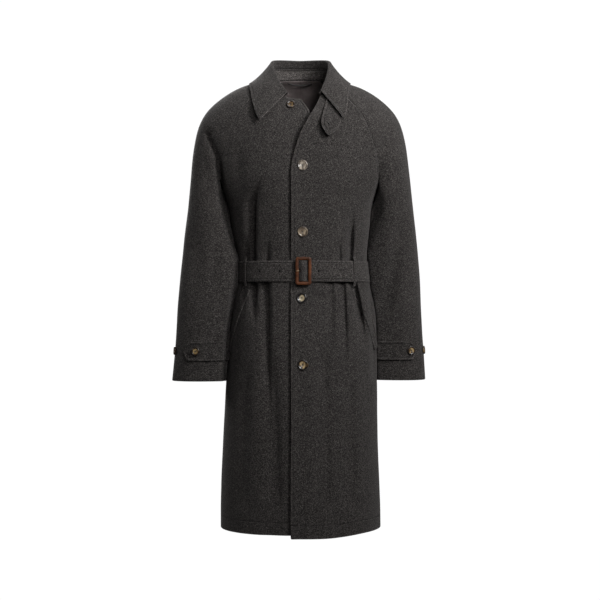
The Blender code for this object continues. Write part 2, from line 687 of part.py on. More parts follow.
def lining():
    """Half lining of the back, a hair inside the back piece, with a centre pleat."""
    outer = outers["back"][0]
    half = UNDER_COLUMNS // 2
    columns = slice(half + 1, half + BACK_COLUMNS)
    points, normal = (grid[:YOKE_ROWS + 4, columns] for grid in (outer, panel_normals["back"]))
    pleat = np.exp(-((points[..., 0] / 0.008) ** 2))[..., None] * 1.6 * MM
    face = points - normal * (CLOTH + SEAM)
    cells = quads_of(np.ones(face.shape[:2], bool))
    wall("back_lining", face, face - normal * (LINING + pleat), cells, SATIN)
    return face - normal * LINING, normal


lining_face, lining_normal = lining()


def ring_table():
    """Outer ring of the body at the belt: arc length, points and normals on three heights."""
    heights = [YOKE_ROWS + 1 + BODY_ROWS.index(z) for z in (BELT_TOP, BELT_MID, BELT_BOTTOM)]
    lines, normals = [], []
    for row in heights:
        side_row = row - YOKE_ROWS
        line = np.concatenate([grids["plain", "front"][row], grids["side", 1][side_row][1:],
                               grids["plain", "back"][row][1:], grids["side", -1][side_row][::-1][1:]])
        along = np.roll(line[:-1], -1, axis=0) - np.roll(line[:-1], 1, axis=0)
        lines.append(line)
        across = np.cross(along, (0, 0, 1))
        normals.append(np.concatenate([across, across[:1]]))
    lines, normals = np.array(lines) * MM, unit(np.array(normals) * (1, 1, 0))
    return chord(lines[1]), lines, normals


belt_length, belt_lines, belt_normals = ring_table()


def belt_place(s, height):
    """Point and normal on the coat at arc s and height 0 (top) to 2 (bottom) of the belt."""
    s = s % belt_length[-1]
    low = min(int(height), 1)
    share = height - low
    found = []
    for data in (belt_lines, belt_normals):
        rows = [np.array([np.interp(s, belt_length, data[k][:, i]) for i in range(3)])
                for k in (low, low + 1)]
        found.append(rows[0] * (1 - share) + rows[1] * share)
    return found[0], unit(found[1])


def arc_of(x_mm):
    """Arc length of a place on the front of the belt's ring."""
    front = belt_lines[1][:FRONT_COLUMNS + 1]
    return float(np.interp(x_mm * MM, front[:, 0], belt_length[:FRONT_COLUMNS + 1]))


def strip(name, path, heights, holes, thickness, colour):
    """Strap that follows a path of (arc, lift) on the belt's ring; holes is a list of (arc, lift)."""
    path = np.array(path)
    way = unit(np.gradient(path, axis=0))
    side = np.stack([-way[:, 1], way[:, 0]], axis=1)
    faces = [path + side * thickness / 2, path - side * thickness / 2]
    grid = [np.array([[sum_place(s, o, h) for s, o in face] for h in heights]) for face in faces]
    cells = quads_of(np.ones(grid[0].shape[:2], bool))
    cells = [cell for cell in cells if not any(c0 <= cell[1] < c1 and 1 <= cell[0] <= 2 for c0, c1 in holes)]
    wall(name, grid[0], grid[1], cells, colour)


def sum_place(s, o, height):
    place, normal = belt_place(s, height)
    return place + normal * o


def belt():
    lap = belt_length[-1]
    path = [(arc_of(x), o * MM) for x, o in BELT_LOOP_RUN]
    holes = [(1, 9)]
    start, end = arc_of(BELT_LOOP_RUN[-1][0]), arc_of(BELT_RISE_RUN[0][0]) + lap
    stops = [s for s in np.concatenate([belt_length, belt_length + lap]) if start + 0.012 < s < end - 0.006]
    hole_at = sorted([arc_of(x) + lap for x in BELT_HOLES if x < 0])
    stops = [s for s in stops if all(abs(s - h) > 0.006 for h in hole_at)]
    marks = [(s, None) for s in stops]
    for h in hole_at:
        marks += [(h - HOLE_RADIUS * MM, None), (h, "hole"), (h + HOLE_RADIUS * MM, None)]
    for s, kind in sorted(marks):
        if kind:
            holes.append((len(path) - 1, len(path) + 1))
        path.append((s, BELT_LAYER * MM))
    first = len(path)
    path += [(arc_of(x) + lap, o * MM) for x, o in BELT_RISE_RUN]
    holes.append((first + 3, first + 5))
    start, end = arc_of(BELT_RISE_RUN[-1][0]) + lap, arc_of(BELT_TIP_X) + lap
    hole_at = sorted([arc_of(x) + lap for x in BELT_HOLES if x > 0])
    stops = [s + lap for s in belt_length if start + 0.006 < s + lap < end - 0.012]
    stops = [s for s in stops if all(abs(s - h) > 0.006 for h in hole_at)] + [end - 0.010, end - 0.003, end]
    marks = [(s, None) for s in stops]
    for h in hole_at:
        marks += [(h - HOLE_RADIUS * MM, None), (h, "hole"), (h + HOLE_RADIUS * MM, None)]
    for s, kind in sorted(marks):
        if kind:
            holes.append((len(path) - 1, len(path) + 1))
        path.append((s, BELT_OVER * MM))
    band = (BELT_TOP - BELT_BOTTOM) / 2
    step = HOLE_RADIUS / band
    strip("belt", path, (0.0, 1.0 - step, 1.0, 1.0 + step, 2.0), holes, STRAP, WOOL)


belt()


def sweep(name, rings, colour, closed=False):
    """Closed body through a row of rings of points."""
    body = bmesh.new()
    made = [[body.verts.new(Vector(p)) for p in ring] for ring in rings]
    count = len(made[0])
    pairs = list(zip(made, made[1:])) + ([(made[-1], made[0])] if closed else [])
    for a, b in pairs:
        for k in range(count):
            body.faces.new([a[k], a[(k + 1) % count], b[(k + 1) % count], b[k]])
    if not closed:
        body.faces.new(made[0][::-1])
        body.faces.new(made[-1])
    return finish(name, body, bpy.data.meshes.new(name), colour)


def buckle():
    """Leather-covered frame with its centre bar, and the metal prong hinged on the bar."""
    s0 = arc_of(BUCKLE_X)
    origin, normal = belt_place(s0, 1.0)
    ahead, _ = belt_place(s0 + 0.01, 1.0)
    along = unit(ahead - origin)
    normal = unit(normal - along * np.dot(normal, along))
    upward = np.array((0.0, 0.0, 1.0))
    half_w, half_h = (BUCKLE_WIDTH - BUCKLE_BAR) / 2, (BUCKLE_HEIGHT - BUCKLE_BAR) / 2
    corner = BUCKLE_CORNER - BUCKLE_BAR / 2
    rings = []
    for sx, sz, first in ((1, 1, 0), (-1, 1, 90), (-1, -1, 180), (1, -1, 270)):
        for turn in (0, 30, 60, 90):
            angle = math.radians(first + turn)
            way = np.array((math.cos(angle), math.sin(angle)))
            centre = np.array((sx * (half_w - corner), sz * (half_h - corner))) + way * corner
            ring = []
            for k in range(8):
                a = math.radians(22.5 + 45 * k)
                reach = np.array((math.cos(a), math.sin(a))) / max(abs(math.cos(a)), abs(math.sin(a))) ** 0.7
                u = reach[0] * BUCKLE_BAR / 2 * 0.97
                n = reach[1] * BUCKLE_DEPTH / 2 * 0.97
                flat = centre + way * u
                ring.append(origin + (along * flat[0] + upward * flat[1] + normal * (BUCKLE_LIFT + n)) * MM)
            rings.append(ring)
    frame = sweep("buckle_frame", rings, LEATHER, closed=True)
    rings = []
    for z in (-half_h, half_h):
        ring = []
        for k in range(10):
            a = 2 * math.pi * k / 10
            ring.append(origin + (along * BAR_RADIUS * math.cos(a) + upward * z
                                  + normal * (BAR_LIFT + BAR_RADIUS * math.sin(a))) * MM)
        rings.append(ring)
    bar = sweep("buckle_bar", rings, LEATHER)
    union = frame.modifiers.new("bar", "BOOLEAN")
    union.operation, union.solver, union.object = "UNION", "EXACT", bar
    bar.hide_render = bar.hide_viewport = True
    reach = BAR_RADIUS + 0.35 + 0.8
    path = [(reach * math.cos(math.radians(a)), BAR_LIFT + reach * math.sin(math.radians(a)))
            for a in (150, 190, 230, 270, 310, 350, 390, 430, 465, 490)]
    path += [(-4.4, 6.2), (-6.4, 6.5), (-8.0, 7.6), (-9.7, 9.6), (-11.4, 11.4), (-13.4, 12.45), (-16.4, 12.4),
             (-18.2, 12.0)]
    path = np.array(path)
    way = unit(np.gradient(path, axis=0))
    side = np.stack([-way[:, 1], way[:, 0]], axis=1)
    rings = []
    for k, (point, out) in enumerate(zip(path, side)):
        wide = 1.25 if k < len(path) - 1 else 0.6
        deep = 0.8 if k < len(path) - 1 else 0.4
        ring = []
        for a in range(8):
            angle = math.radians(22.5 + 45 * a)
            flat = point + out * deep * math.cos(angle)
            ring.append(origin + (along * flat[0] + normal * flat[1] + upward * wide * math.sin(angle)) * MM)
        rings.append(ring)
    sweep("buckle_prong", rings, BRASS)


buckle()


def belt_loops():
    """Narrow loops that hold the belt at the two sides of the front."""
    over_belt = (BELT_LAYER * MM + STRAP / 2) / MM + 0.9
    for word, x in (("left", LOOP_X), ("right", -LOOP_X)):
        s = arc_of(x)
        run = ((-0.42, 2.1), (-0.2, 2.2), (-0.06, 3.6), (0.1, over_belt + 1.5), (1.0, over_belt + 1.5),
               (1.9, over_belt + 1.5), (2.06, 3.6), (2.2, 2.2), (2.42, 2.1))
        path = np.array([(-(h - 1.0) * (BELT_TOP - BELT_BOTTOM) / 2, o) for h, o in run])
        way = unit(np.gradient(path, axis=0))
        side = np.stack([-way[:, 1], way[:, 0]], axis=1)
        faces = []
        for sign in (0.5, -0.5):
            face = []
            for (z, o), out in zip(path, side):
                shift, height = (np.array((z, o)) + out * sign * 1.6) * MM
                row = []
                for offset in (-LOOP_WIDTH / 2, 0, LOOP_WIDTH / 2):
                    place, normal = on_front(belt_place(s + offset * MM, 1.0)[0][0],
                                             BELT_MID * MM + shift)
                    normal = unit(normal * (1, 1, 0))
                    row.append(place + normal * height)
                face.append(row)
            faces.append(np.array(face))
        wall(f"belt_loop_{word}", faces[0], faces[1], quads_of(np.ones(faces[0].shape[:2], bool)), WOOL)


belt_loops()


def patch(name, found, rise, thickness, colour=WOOL):
    """Flat piece over rows of (point, normal) of the coat; rise is its height above them in mm."""
    points = np.array([[p for p, _ in row] for row in found])
    normals = unit(np.array([[n for _, n in row] for row in found]))
    normals = unit(normals + normals.mean(axis=(0, 1)) * 0.5)
    inner = points + normals * np.asarray(rise)[..., None] * MM
    wall(name, inner + normals * thickness, inner, quads_of(np.ones(points.shape[:2], bool)), colour)


def flat_pieces():
    shares = (0, 0.25, 0.5, 0.75, 1)
    rows = [[on_front((x0 + (x1 - x0) * t) * MM, (z0 + (z1 - z0) * t) * MM, coat_tree) for t in shares]
            for (x0, z0), (x1, z1) in TAB]
    rise = np.array([[h] * 5 for h in (1.8, 1.6, 1.6, 1.8, 2.2, 2.2)])
    patch("throat_tab", rows, rise, CLOTH)
    top, foot = np.array(WELT_TOP, float), np.array(WELT_FOOT, float)
    along = unit(foot - top)
    cross = np.array((-along[1], along[0])) * WELT_WIDTH
    for side, word in ((-1, "right"), (1, "left")):
        rows = [[on_flank(*(top + (foot - top) * t + cross * w), side) for w in shares]
                for t in np.linspace(0, 1, 13)]
        patch(f"pocket_welt_{word}", rows, np.full((13, 5), 1.3), STRAP)


flat_pieces()


def cuff_straps():
    """Pointed strap from the under-arm seam across the front of each cuff."""
    rows = [YOKE_ROWS + 1 + SLEEVE_ROWS.index(z) for z in (STRAP_TOP, STRAP_MID, STRAP_BOTTOM)]
    half = UNDER_COLUMNS // 2
    faces = {}
    for side, word in ((-1, "right"), (1, "left")):
        outer = outers[f"sleeve_{word}_front"][0]
        normal = grid_normals(outer[rows[0] - 1:rows[2] + 2], outer[rows[0] - 1:rows[2] + 2]
                              - np.array((side * 0.25, 0.0, -0.66)))[1:4]
        points = outer[rows]
        stop = half + 3
        points, normal = points[:, 1:stop + 1].copy(), normal[:, 1:stop + 1].copy()
        tip = outer[rows[1], stop] * 0.35 + outer[rows[1], stop + 1] * 0.65
        points = np.concatenate([points, np.repeat(tip[None, None], 3, axis=0)], axis=1)
        normal = np.concatenate([normal, normal[:, -1:]], axis=1)
        points[0, -1] = points[1, -1] + (points[0, -2] - points[1, -2]) * 0.08
        points[2, -1] = points[1, -1] + (points[2, -2] - points[1, -2]) * 0.08
        inner = points + normal * 0.5 * MM
        face = inner + normal * STRAP
        wall(f"cuff_strap_{word}", face, inner, quads_of(np.ones(face.shape[:2], bool)), WOOL)
        faces[side] = face
    return faces


strap_faces = cuff_straps()


def button(name, place, normal, radius):
    """Turned button lying on a face."""
    axis = unit(np.asarray(normal, float))
    side = unit(np.cross(axis, (0, 0, 1)))
    other = np.cross(axis, side)
    body = bmesh.new()
    rings = []
    for share, height in BUTTON_PROFILE:
        centre = place + axis * height * MM
        if share == 0.0:
            rings.append([body.verts.new(Vector(centre))])
            continue
        turns = np.linspace(0, 2 * math.pi, BUTTON_SIDES + 1)[:-1]
        out = [side * math.cos(a) + other * math.sin(a) for a in turns]
        rings.append([body.verts.new(Vector(centre + way * share * radius)) for way in out])
    for low, high in zip(rings, rings[1:]):
        for k in range(BUTTON_SIDES):
            after = (k + 1) % BUTTON_SIDES
            a = [low[0]] if len(low) == 1 else [low[k], low[after]]
            b = [high[0]] if len(high) == 1 else [high[after], high[k]]
            body.faces.new(a + b)
    finish(name, body, bpy.data.meshes.new(name), HORN)


def along_strap(face, inset):
    """Point and normal on the middle line of a cuff strap, at a distance in mm from its tip."""
    line = face[1][::-1]
    gone = chord(line) / MM
    k = int(np.searchsorted(gone, inset))
    share = (inset - gone[k - 1]) / (gone[k] - gone[k - 1])
    column = len(line) - 1 - k
    normal = unit(np.cross(line[k - 1] - line[k], face[0, column] - face[2, column]))
    return line[k - 1] * (1 - share) + line[k] * share, -normal if normal[1] > 0 else normal


def buttons():
    """Front buttons, and on each cuff one on the strap and one further round on the sleeve."""
    for k, (x, z, radius) in enumerate(FRONT_BUTTONS, 1):
        place, normal = on_front(x * MM, z * MM)
        around = [on_front(x * MM + radius * MM * math.cos(a), z * MM + radius * MM * math.sin(a))
                  for a in np.linspace(0, 2 * math.pi, 13)[:-1]]
        normal = unit(sum(n for _, n in around))
        rise = max(np.dot(p - place, normal) for p, _ in around)
        button(f"front_button_{k}", place + normal * (max(rise, 0.0) + 0.3 * MM), normal, radius * MM)
    for side, word in ((-1, "right"), (1, "left")):
        place, normal = along_strap(strap_faces[side], CUFF_BUTTON_INSETS[word])
        button(f"cuff_button_{word}_1", place + normal * 0.9 * MM, normal, CUFF_BUTTON_RADIUS * MM)
        outer = outers[f"sleeve_{word}_front"][0]
        row = YOKE_ROWS + 1 + SLEEVE_ROWS.index(STRAP_MID)
        place = outer[row, -2] * 0.6 + outer[row, -1] * 0.4
        normal = unit(np.cross(outer[row, -1] - outer[row, -2], outer[row - 1, -1] - outer[row + 1, -1]))
        if normal[1] > 0:
            normal = -normal
        button(f"cuff_button_{word}_2", place + normal * 1.0 * MM, normal, CUFF_BUTTON_RADIUS * MM)


buttons()


def hanger_loop():
    """Hanger loop sewn to the top of the lining, hanging free between its two ends."""
    place, normal = (grid[0] * 0.75 + grid[1] * 0.25 for grid in (lining_face, lining_normal))
    place, normal = place[::-1], unit(normal[::-1])
    if place[0, 0] > place[-1, 0]:
        place, normal = place[::-1], normal[::-1]
    ends = []
    for x in (-HANGER_HALF * MM, HANGER_HALF * MM):
        point, out = (np.array([np.interp(x, place[:, 0], grid[:, k]) for k in range(3)])
                      for grid in (place, normal))
        ends.append((point - out * (HANGER_THICK / 2 + 0.35) * MM, out))
    rings = []
    for t in np.linspace(-1, 1, 13):
        share = (t + 1) / 2
        middle = ends[0][0] * (1 - share) + ends[1][0] * share
        middle = middle - np.array((0.0, 0.0, HANGER_SAG * MM * (1 - t * t)))
        out = unit(ends[0][1] * (1 - share) + ends[1][1] * share)
        out = unit(out * t**4 + np.array((0.0, 1.0, 0.0)) * (1 - t**4))
        rise = unit(np.cross(np.array((1.0, 0.0, 0.0)), out))
        rings.append([middle + (out * HANGER_THICK * math.cos(a) + rise * HANGER_WIDE * math.sin(a)) * MM / 2
                      for a in np.radians(22.5 + 45 * np.arange(8))])
    sweep("hanger_loop", rings, WOOL)


hanger_loop()
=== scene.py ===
"""Belted raglan overcoat of charcoal fleck wool, with horn buttons and a leather-covered buckle.

The looks of every piece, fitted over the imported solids. Metres, +Z up, the wearer's left on +X.
"""

import math

import bmesh
import bpy
import numpy as np
from mathutils import Matrix, Vector, noise
from mathutils.bvhtree import BVHTree


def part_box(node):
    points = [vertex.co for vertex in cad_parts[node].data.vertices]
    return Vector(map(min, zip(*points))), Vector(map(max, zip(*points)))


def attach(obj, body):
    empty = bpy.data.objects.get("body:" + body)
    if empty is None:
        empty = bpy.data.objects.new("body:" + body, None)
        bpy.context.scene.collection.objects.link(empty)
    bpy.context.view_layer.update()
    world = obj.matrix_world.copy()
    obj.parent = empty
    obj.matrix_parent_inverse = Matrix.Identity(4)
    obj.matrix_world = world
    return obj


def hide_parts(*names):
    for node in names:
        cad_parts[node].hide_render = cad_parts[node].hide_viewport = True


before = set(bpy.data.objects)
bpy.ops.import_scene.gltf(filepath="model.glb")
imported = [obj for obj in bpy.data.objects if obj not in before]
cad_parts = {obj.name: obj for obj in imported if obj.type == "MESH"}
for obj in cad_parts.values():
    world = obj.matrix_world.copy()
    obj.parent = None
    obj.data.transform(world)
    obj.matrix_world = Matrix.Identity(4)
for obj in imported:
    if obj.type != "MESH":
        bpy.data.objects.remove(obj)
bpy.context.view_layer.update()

# The studio: a pale floor under the hanging coat and a white surround. The main soft light is high on the
# wearer's left, the others fill the front, top, back and side. The long lens is level with the coat's middle.
LENS_PLACE = (0.0, -3.5417, -0.5375)
LENS_LENGTH = 85.0
FLOOR_LEVEL = -1.50
FLOOR_SIZE = 14.0
SURROUND_SHOWN = 1.02
SURROUND_LIGHT = 0.06
FLOOR_GREY = 0.30
SOFT_LIGHTS = (
    # name, place, watts, size
    ("key_light", (1.45, -1.50, 0.80), 12.6, 0.7),
    ("front_light", (0.75, -2.50, 0.60), 5.2, 0.7),
    ("top_light", (0.45, 0.10, 1.35), 3.2, 1.2),
    ("back_light", (-1.10, 2.20, 0.70), 12.0, 1.2),
    ("side_light", (-2.20, 0.40, 0.30), 4.0, 1.0),
)
LIT_LEVEL, LIGHT_SPREAD = -0.12, 100.0

bpy.ops.object.select_all(action="DESELECT")
bpy.ops.object.camera_add(location=LENS_PLACE, rotation=(math.radians(90), 0.0, 0.0))
lens = bpy.context.object
lens.name = "studio_camera"
lens.data.lens = LENS_LENGTH
lens.data.sensor_width = 36.0
lens.data.clip_end = 60.0
bpy.context.scene.camera = lens

for light_name, place, watts, size in SOFT_LIGHTS:
    bpy.ops.object.light_add(type="AREA", location=place)
    light = bpy.context.object
    light.name = light_name
    light.data.shape = "DISK"
    light.data.size = size
    light.data.energy = watts
    light.data.spread = math.radians(LIGHT_SPREAD)
    aim = Vector((0.0, 0.0, LIT_LEVEL)) - Vector(place)
    light.rotation_euler = aim.to_track_quat("-Z", "Y").to_euler()


def plug(node, values):
    """Fills a node's inputs: a plain value stays on its own socket, another node's output is linked."""
    for slot, value in values.items():
        if isinstance(value, bpy.types.NodeSocket):
            node.id_data.links.new(value, node.inputs[slot])
        else:
            node.inputs[slot].default_value = value


def add_node(tree, kind, values=()):
    """A new shader node with its inputs filled."""
    node = tree.nodes.new("ShaderNode" + kind)
    plug(node, dict(values))
    return node


def laid_flat(tree, layer):
    """The place on one of a piece's flat layers."""
    node = add_node(tree, "UVMap")
    node.uv_map = layer
    return node.outputs[0]


def new_paint(name):
    """A new material, its node tree and its shader."""
    paint = bpy.data.materials.new(name)
    paint.use_nodes = True
    return paint, paint.node_tree, paint.node_tree.nodes["Principled BSDF"]


bpy.ops.mesh.primitive_plane_add(size=FLOOR_SIZE, location=(0.0, 2.0, FLOOR_LEVEL))
floor = bpy.context.object
floor.name = "studio_floor"
floor_paint, floor_tree, floor_shader = new_paint("pale_floor")
plug(floor_shader, {"Base Color": (FLOOR_GREY, FLOOR_GREY, FLOOR_GREY, 1.0), "Roughness": 0.8})
glow = add_node(floor_tree, "Emission", {"Strength": SURROUND_SHOWN})
shown = add_node(floor_tree, "LightPath").outputs["Is Camera Ray"]
floor_mix = add_node(floor_tree, "MixShader", {0: shown, 1: floor_shader.outputs[0], 2: glow.outputs[0]})
plug(floor_tree.nodes["Material Output"], {0: floor_mix.outputs[0]})
floor.data.materials.append(floor_paint)

surround = bpy.data.worlds.new("white_surround")
bpy.context.scene.world = surround
surround.use_nodes = True
sky = surround.node_tree
sky.nodes.clear()
sky_mix = add_node(sky, "MixShader", {0: add_node(sky, "LightPath").outputs["Is Camera Ray"]})
for slot, strength in ((1, SURROUND_LIGHT), (2, SURROUND_SHOWN)):
    glow = add_node(sky, "Background", {"Color": (1.0, 1.0, 1.0, 1.0), "Strength": strength})
    plug(sky_mix, {slot: glow.outputs[0]})
add_node(sky, "OutputWorld", {0: sky_mix.outputs[0]})
bpy.context.scene.view_settings.view_transform = "Standard"

# The back: one wide panel of heavy fleck wool, cut to the raglan seams and hung in soft flutes below the
# belt. Its cloth shell is rounded from the solid, and its weave is laid flat on it in metres, grain upright.
WELD = 1e-5
EDGE_CREASE = 0.55
SEAM_GROWN = 0.0005
CORNER_TURN, SHARP_TURN = 50.0, 60.0
BODY_CORE = ((0.0, 0.0, 0.05), (0.0, 0.0, -1.15))
SWAY_WIDE = (15.0, 15.0, 4.2)
SWAY_WIDE_DEPTH = 0.0016
SWAY_FINE = (46.0, 46.0, 19.0)
SWAY_FINE_DEPTH = 0.00035
SWAY_SEED = 3
noise.seed_set(SWAY_SEED)
BELT_LEVEL, BELT_CALM, CALM_LEAST, CALM_HALF_WIDTH = -0.468, 0.075, 0.06, 0.20
CREASES = (
    # side, the line down as x and z, width to either side, depth, fade at the top and at the foot, mm
    ("front", ((-90, -232), (-101, -268), (-108, -300), (-110, -420), (-108, -470)), 17, 3.5, 22.0, 90, 6),
    ("front", ((-75, -385), (-77, -470)), 10, 4, 11.0, 60, 6),
    ("front", ((-132, -375), (-128, -470)), 9, 4, 10.0, 60, 6),
    ("front", ((130, -310), (127, -400), (123, -470)), 12, 3.5, 20.0, 90, 6),
    ("front", ((98, -385), (96, -470)), 9, 4, 9.0, 50, 6),
    ("front", ((-105, -470), (-105, -500), (-110, -610)), 14, 3.5, 20.0, 6, 100),
    ("front", ((-78, -470), (-77, -500), (-73, -560), (-74, -880)), 15, 4.5, 16.0, 6, 330),
    ("front", ((-132, -470), (-138, -580)), 10, 4, 9.0, 6, 80),
    ("front", ((131, -470), (135, -500), (150, -570), (162, -660)), 14, 3.5, 20.0, 6, 110),
    ("front", ((104, -470), (106, -500), (114, -720)), 13, 4.5, 12.0, 6, 160),
    ("front", ((76, -470), (78, -700)), 12, 6, 6.0, 6, 160),
    ("front", ((229, -100), (212, -140), (198, -175), (190, -250)), 9, 12, 8.0, 30, 35),
    ("front", ((262, -285), (240, -410), (214, -560), (205, -610)), 16, 20, 12.0, 90, 80),
    ("front", ((-262, -330), (-252, -440), (-240, -560)), 18, 18, 5.0, 80, 80),
    ("front", ((-205, -380), (-212, -470), (-214, -560)), 12, 9, 4.5, 60, 70),
    ("front", ((-150, -150), (-146, -230), (-140, -330)), 15, 11, 5.0, 60, 90),
    ("front", ((-70, -600), (-60, -780), (-50, -1060)), 22, 10, 7.0, 140, 60),
    ("front", ((52, -560), (60, -780), (66, -1060)), 24, 12, 7.0, 140, 60),
    ("front", ((118, -640), (126, -1060)), 24, 12, 8.0, 140, 60),
    ("front", ((-128, -640), (-138, -1060)), 22, 11, 7.0, 140, 60),
    ("gap", ((-228, -112), (-201, -179), (-191, -248), (-184, -335), (-168, -430)), 9, 6, 21.0, 22, 20),
    ("gap", ((194, -265), (188, -330), (180, -374), (171, -430)), 6, 9, 17.0, 50, 20),
    ("gap", ((-172, -500), (-184, -560), (-196, -640), (-198, -745)), 8, 8, 15.0, 20, 5),
    ("gap", ((172, -500), (176, -560), (181, -640), (184, -745)), 8, 8, 13.0, 20, 5),
    ("back", ((-112, -330), (-104, -470)), 14, 5, 14.0, 70, 6),
    ("back", ((118, -330), (108, -470)), 5, 14, 14.0, 70, 6),
    ("back", ((-30, -380), (-28, -470)), 8, 6, 5.0, 40, 6),
    ("back", ((34, -380), (32, -470)), 6, 8, 5.0, 40, 6),
    ("back", ((-100, -470), (-108, -640)), 14, 5, 15.0, 6, 130),
    ("back", ((104, -470), (112, -640)), 5, 14, 15.0, 6, 130),
    ("back", ((-32, -470), (-34, -640)), 10, 7, 7.0, 6, 120),
    ("back", ((36, -470), (40, -640)), 7, 10, 7.0, 6, 120),
)
CREASE_TURN, SIDE_SHARE = 30.0, 0.35
STITCH_PITCH, STITCH_LENGTH, STITCH_THICK, STITCH_SUNK = 0.0062, 0.0036, 0.00042, 0.00012
HEM_ROW, EDGE_ROW, SEAM_ROW, ROW_STEP = 0.030, 0.0055, 0.0045, 0.002
GROOVE_WIDE, GROOVE_DEEP, ROW_REACH = 0.0022, 0.0018, 0.05
outlines = {}


def pick(piece):
    """Selects one piece alone."""
    bpy.ops.object.select_all(action="DESELECT")
    piece.select_set(True)
    bpy.context.view_layer.objects.active = piece


def nearest_on_core(core, point):
    """The point on the hollow's middle line that is level with a point of the cloth."""
    top, foot = Vector(core[0]), Vector(core[1])
    share = (point.z - top.z) / (foot.z - top.z)
    return top.lerp(foot, min(1.0, max(0.0, share)))


def flat_cuts(bm):
    """Groups of faces that the seams part from each other."""
    seen, groups = set(), []
    for first in bm.faces:
        if first in seen:
            continue
        seen.add(first)
        group, waiting = [], [first]
        while waiting:
            face = waiting.pop()
            group.append(face)
            for edge in face.edges:
                if edge.seam:
                    continue
                for other in edge.link_faces:
                    if other not in seen:
                        seen.add(other)
                        waiting.append(other)
        groups.append(group)
    return groups


def lay_weave(group, layer):
    """Brings one flat cut to true size with its grain upright; returns its width, length and area."""
    area = sum(face.calc_area() for face in group)
    loops = [loop for face in group for loop in face.loops]
    flat = np.array([loop[layer].uv[:] for loop in loops])
    height = np.array([loop.vert.co.z for loop in loops])
    start, paper = 0, 0.0
    for face in group:
        count = len(face.loops)
        x, y = flat[start : start + count].T
        paper += 0.5 * abs(np.dot(x, np.roll(y, 1)) - np.dot(y, np.roll(x, 1)))
        start += count
    flat = (flat - flat.mean(0)) * math.sqrt(area / max(paper, 1e-12))
    slope = np.linalg.lstsq(np.c_[flat, np.ones(len(flat))], height, rcond=None)[0][:2]
    size = np.linalg.norm(slope)
    grain = slope / size if size > 0.05 else np.array((0.0, 1.0))
    turned = flat @ np.array(((grain[1], grain[0]), (-grain[0], grain[1])))
    for loop, place in zip(loops, turned):
        loop[layer].uv = place
    width, length = turned.max(0) - turned.min(0)
    return width, length, area


def face_outline(group):
    """The vertices round a cut in order, and the direction into the cloth at each."""
    inside = set(group)
    steps = {}
    for face in group:
        for loop in face.loops:
            if not any(other in inside and other is not face for other in loop.edge.link_faces):
                steps[loop.vert] = loop.link_loop_next.vert
    first = next(iter(steps))
    ring, vert = [first], steps[first]
    while vert is not first and vert in steps and len(ring) <= len(steps):
        ring.append(vert)
        vert = steps[vert]
    inward = []
    for here, after, before in zip(ring, ring[1:] + ring[:1], ring[-1:] + ring[:-1]):
        middles = [face.calc_center_median() for face in here.link_faces if face in inside]
        lean = sum(middles, Vector()) / len(middles) - here.co
        run = (after.co - before.co).normalized()
        inward.append((lean - lean.dot(run) * run).normalized())
    return [vert.index for vert in ring], np.array([side[:] for side in inward])


def sway(points):
    """How far hanging cloth strays from its plain form at each point, so that touching pieces move alike."""
    shift = np.zeros_like(points)
    for place, move in zip(points, shift):
        wide = noise.noise_vector(Vector(place * SWAY_WIDE))
        fine = noise.noise_vector(Vector(place * SWAY_FINE))
        move[:2] = SWAY_WIDE_DEPTH * np.array(wide[:2]) + SWAY_FINE_DEPTH * np.array(fine[:2])
    calm = np.clip(np.abs(points[:, 2] - BELT_LEVEL) / BELT_CALM, 0.0, 1.0)
    calm = np.where(np.abs(points[:, 0]) < CALM_HALF_WIDTH, calm**2, 1.0)
    shift *= np.maximum(calm, CALM_LEAST)[:, None]
    return shift


def ease(share):
    """A share from 0 to 1, with soft ends."""
    return share * share * (3 - 2 * share)


def crease(points):
    """How far the sharp folds sink the cloth at each point: pinched in at the belt and under the arms."""
    shift = np.zeros_like(points)
    x, y, z = (points * 1000).T
    for side, line, wide_low, wide_high, depth, fade_top, fade_foot in CREASES:
        line_x, line_z = np.array(line).T
        middle = np.interp(-z, -line_z, line_x)
        ends = np.clip((line_z[0] - z) / fade_top, 0, 1) * np.clip((z - line_z[-1]) / fade_foot, 0, 1)
        inward = -1 if side == "back" else 1
        facing = np.clip(-inward * y / CREASE_TURN + (1.0 if side == "gap" else SIDE_SHARE), 0.0, 1.0)
        wide = np.where(x < middle, wide_low, wide_high)
        shift[:, 1] += inward * depth * ease(ends) * facing * np.exp(-(((x - middle) / wide) ** 2)) / 1000
    return shift


def points_of(piece):
    """A mesh's vertices as rows of numbers."""
    flat = np.empty(len(piece.data.vertices) * 3)
    piece.data.vertices.foreach_get("co", flat)
    return flat.reshape(-1, 3)


def move_to(piece, points):
    """Puts a mesh's vertices at the given rows of numbers."""
    piece.data.vertices.foreach_set("co", points.ravel())
    piece.data.update()


def bare_copy(node, name):
    """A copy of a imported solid, picked, without its material and custom normals."""
    piece = bpy.data.objects.new(name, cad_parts[node].data.copy())
    bpy.context.scene.collection.objects.link(piece)
    piece.data.materials.clear()
    pick(piece)
    if piece.data.has_custom_normals:
        bpy.ops.mesh.customdata_custom_splitnormals_clear()
    return piece


def square_up(flat_turn):
    """Opens the picked piece for editing, with its points merged and its triangles joined to quads."""
    bpy.ops.object.mode_set(mode="EDIT")
    bpy.ops.mesh.select_mode(type="EDGE")
    bpy.ops.mesh.select_all(action="SELECT")
    bpy.ops.mesh.remove_doubles(threshold=WELD)
    flat, skewed = math.radians(flat_turn), math.radians(70)
    bpy.ops.mesh.tris_convert_to_quads(face_threshold=flat, shape_threshold=skewed)


def round_off(piece, rounds):
    """Subdivides the picked piece for good."""
    bpy.ops.object.modifier_add(type="SUBSURF")
    piece.modifiers[-1].levels = piece.modifiers[-1].render_levels = rounds
    bpy.ops.object.modifier_apply(modifier=piece.modifiers[-1].name)


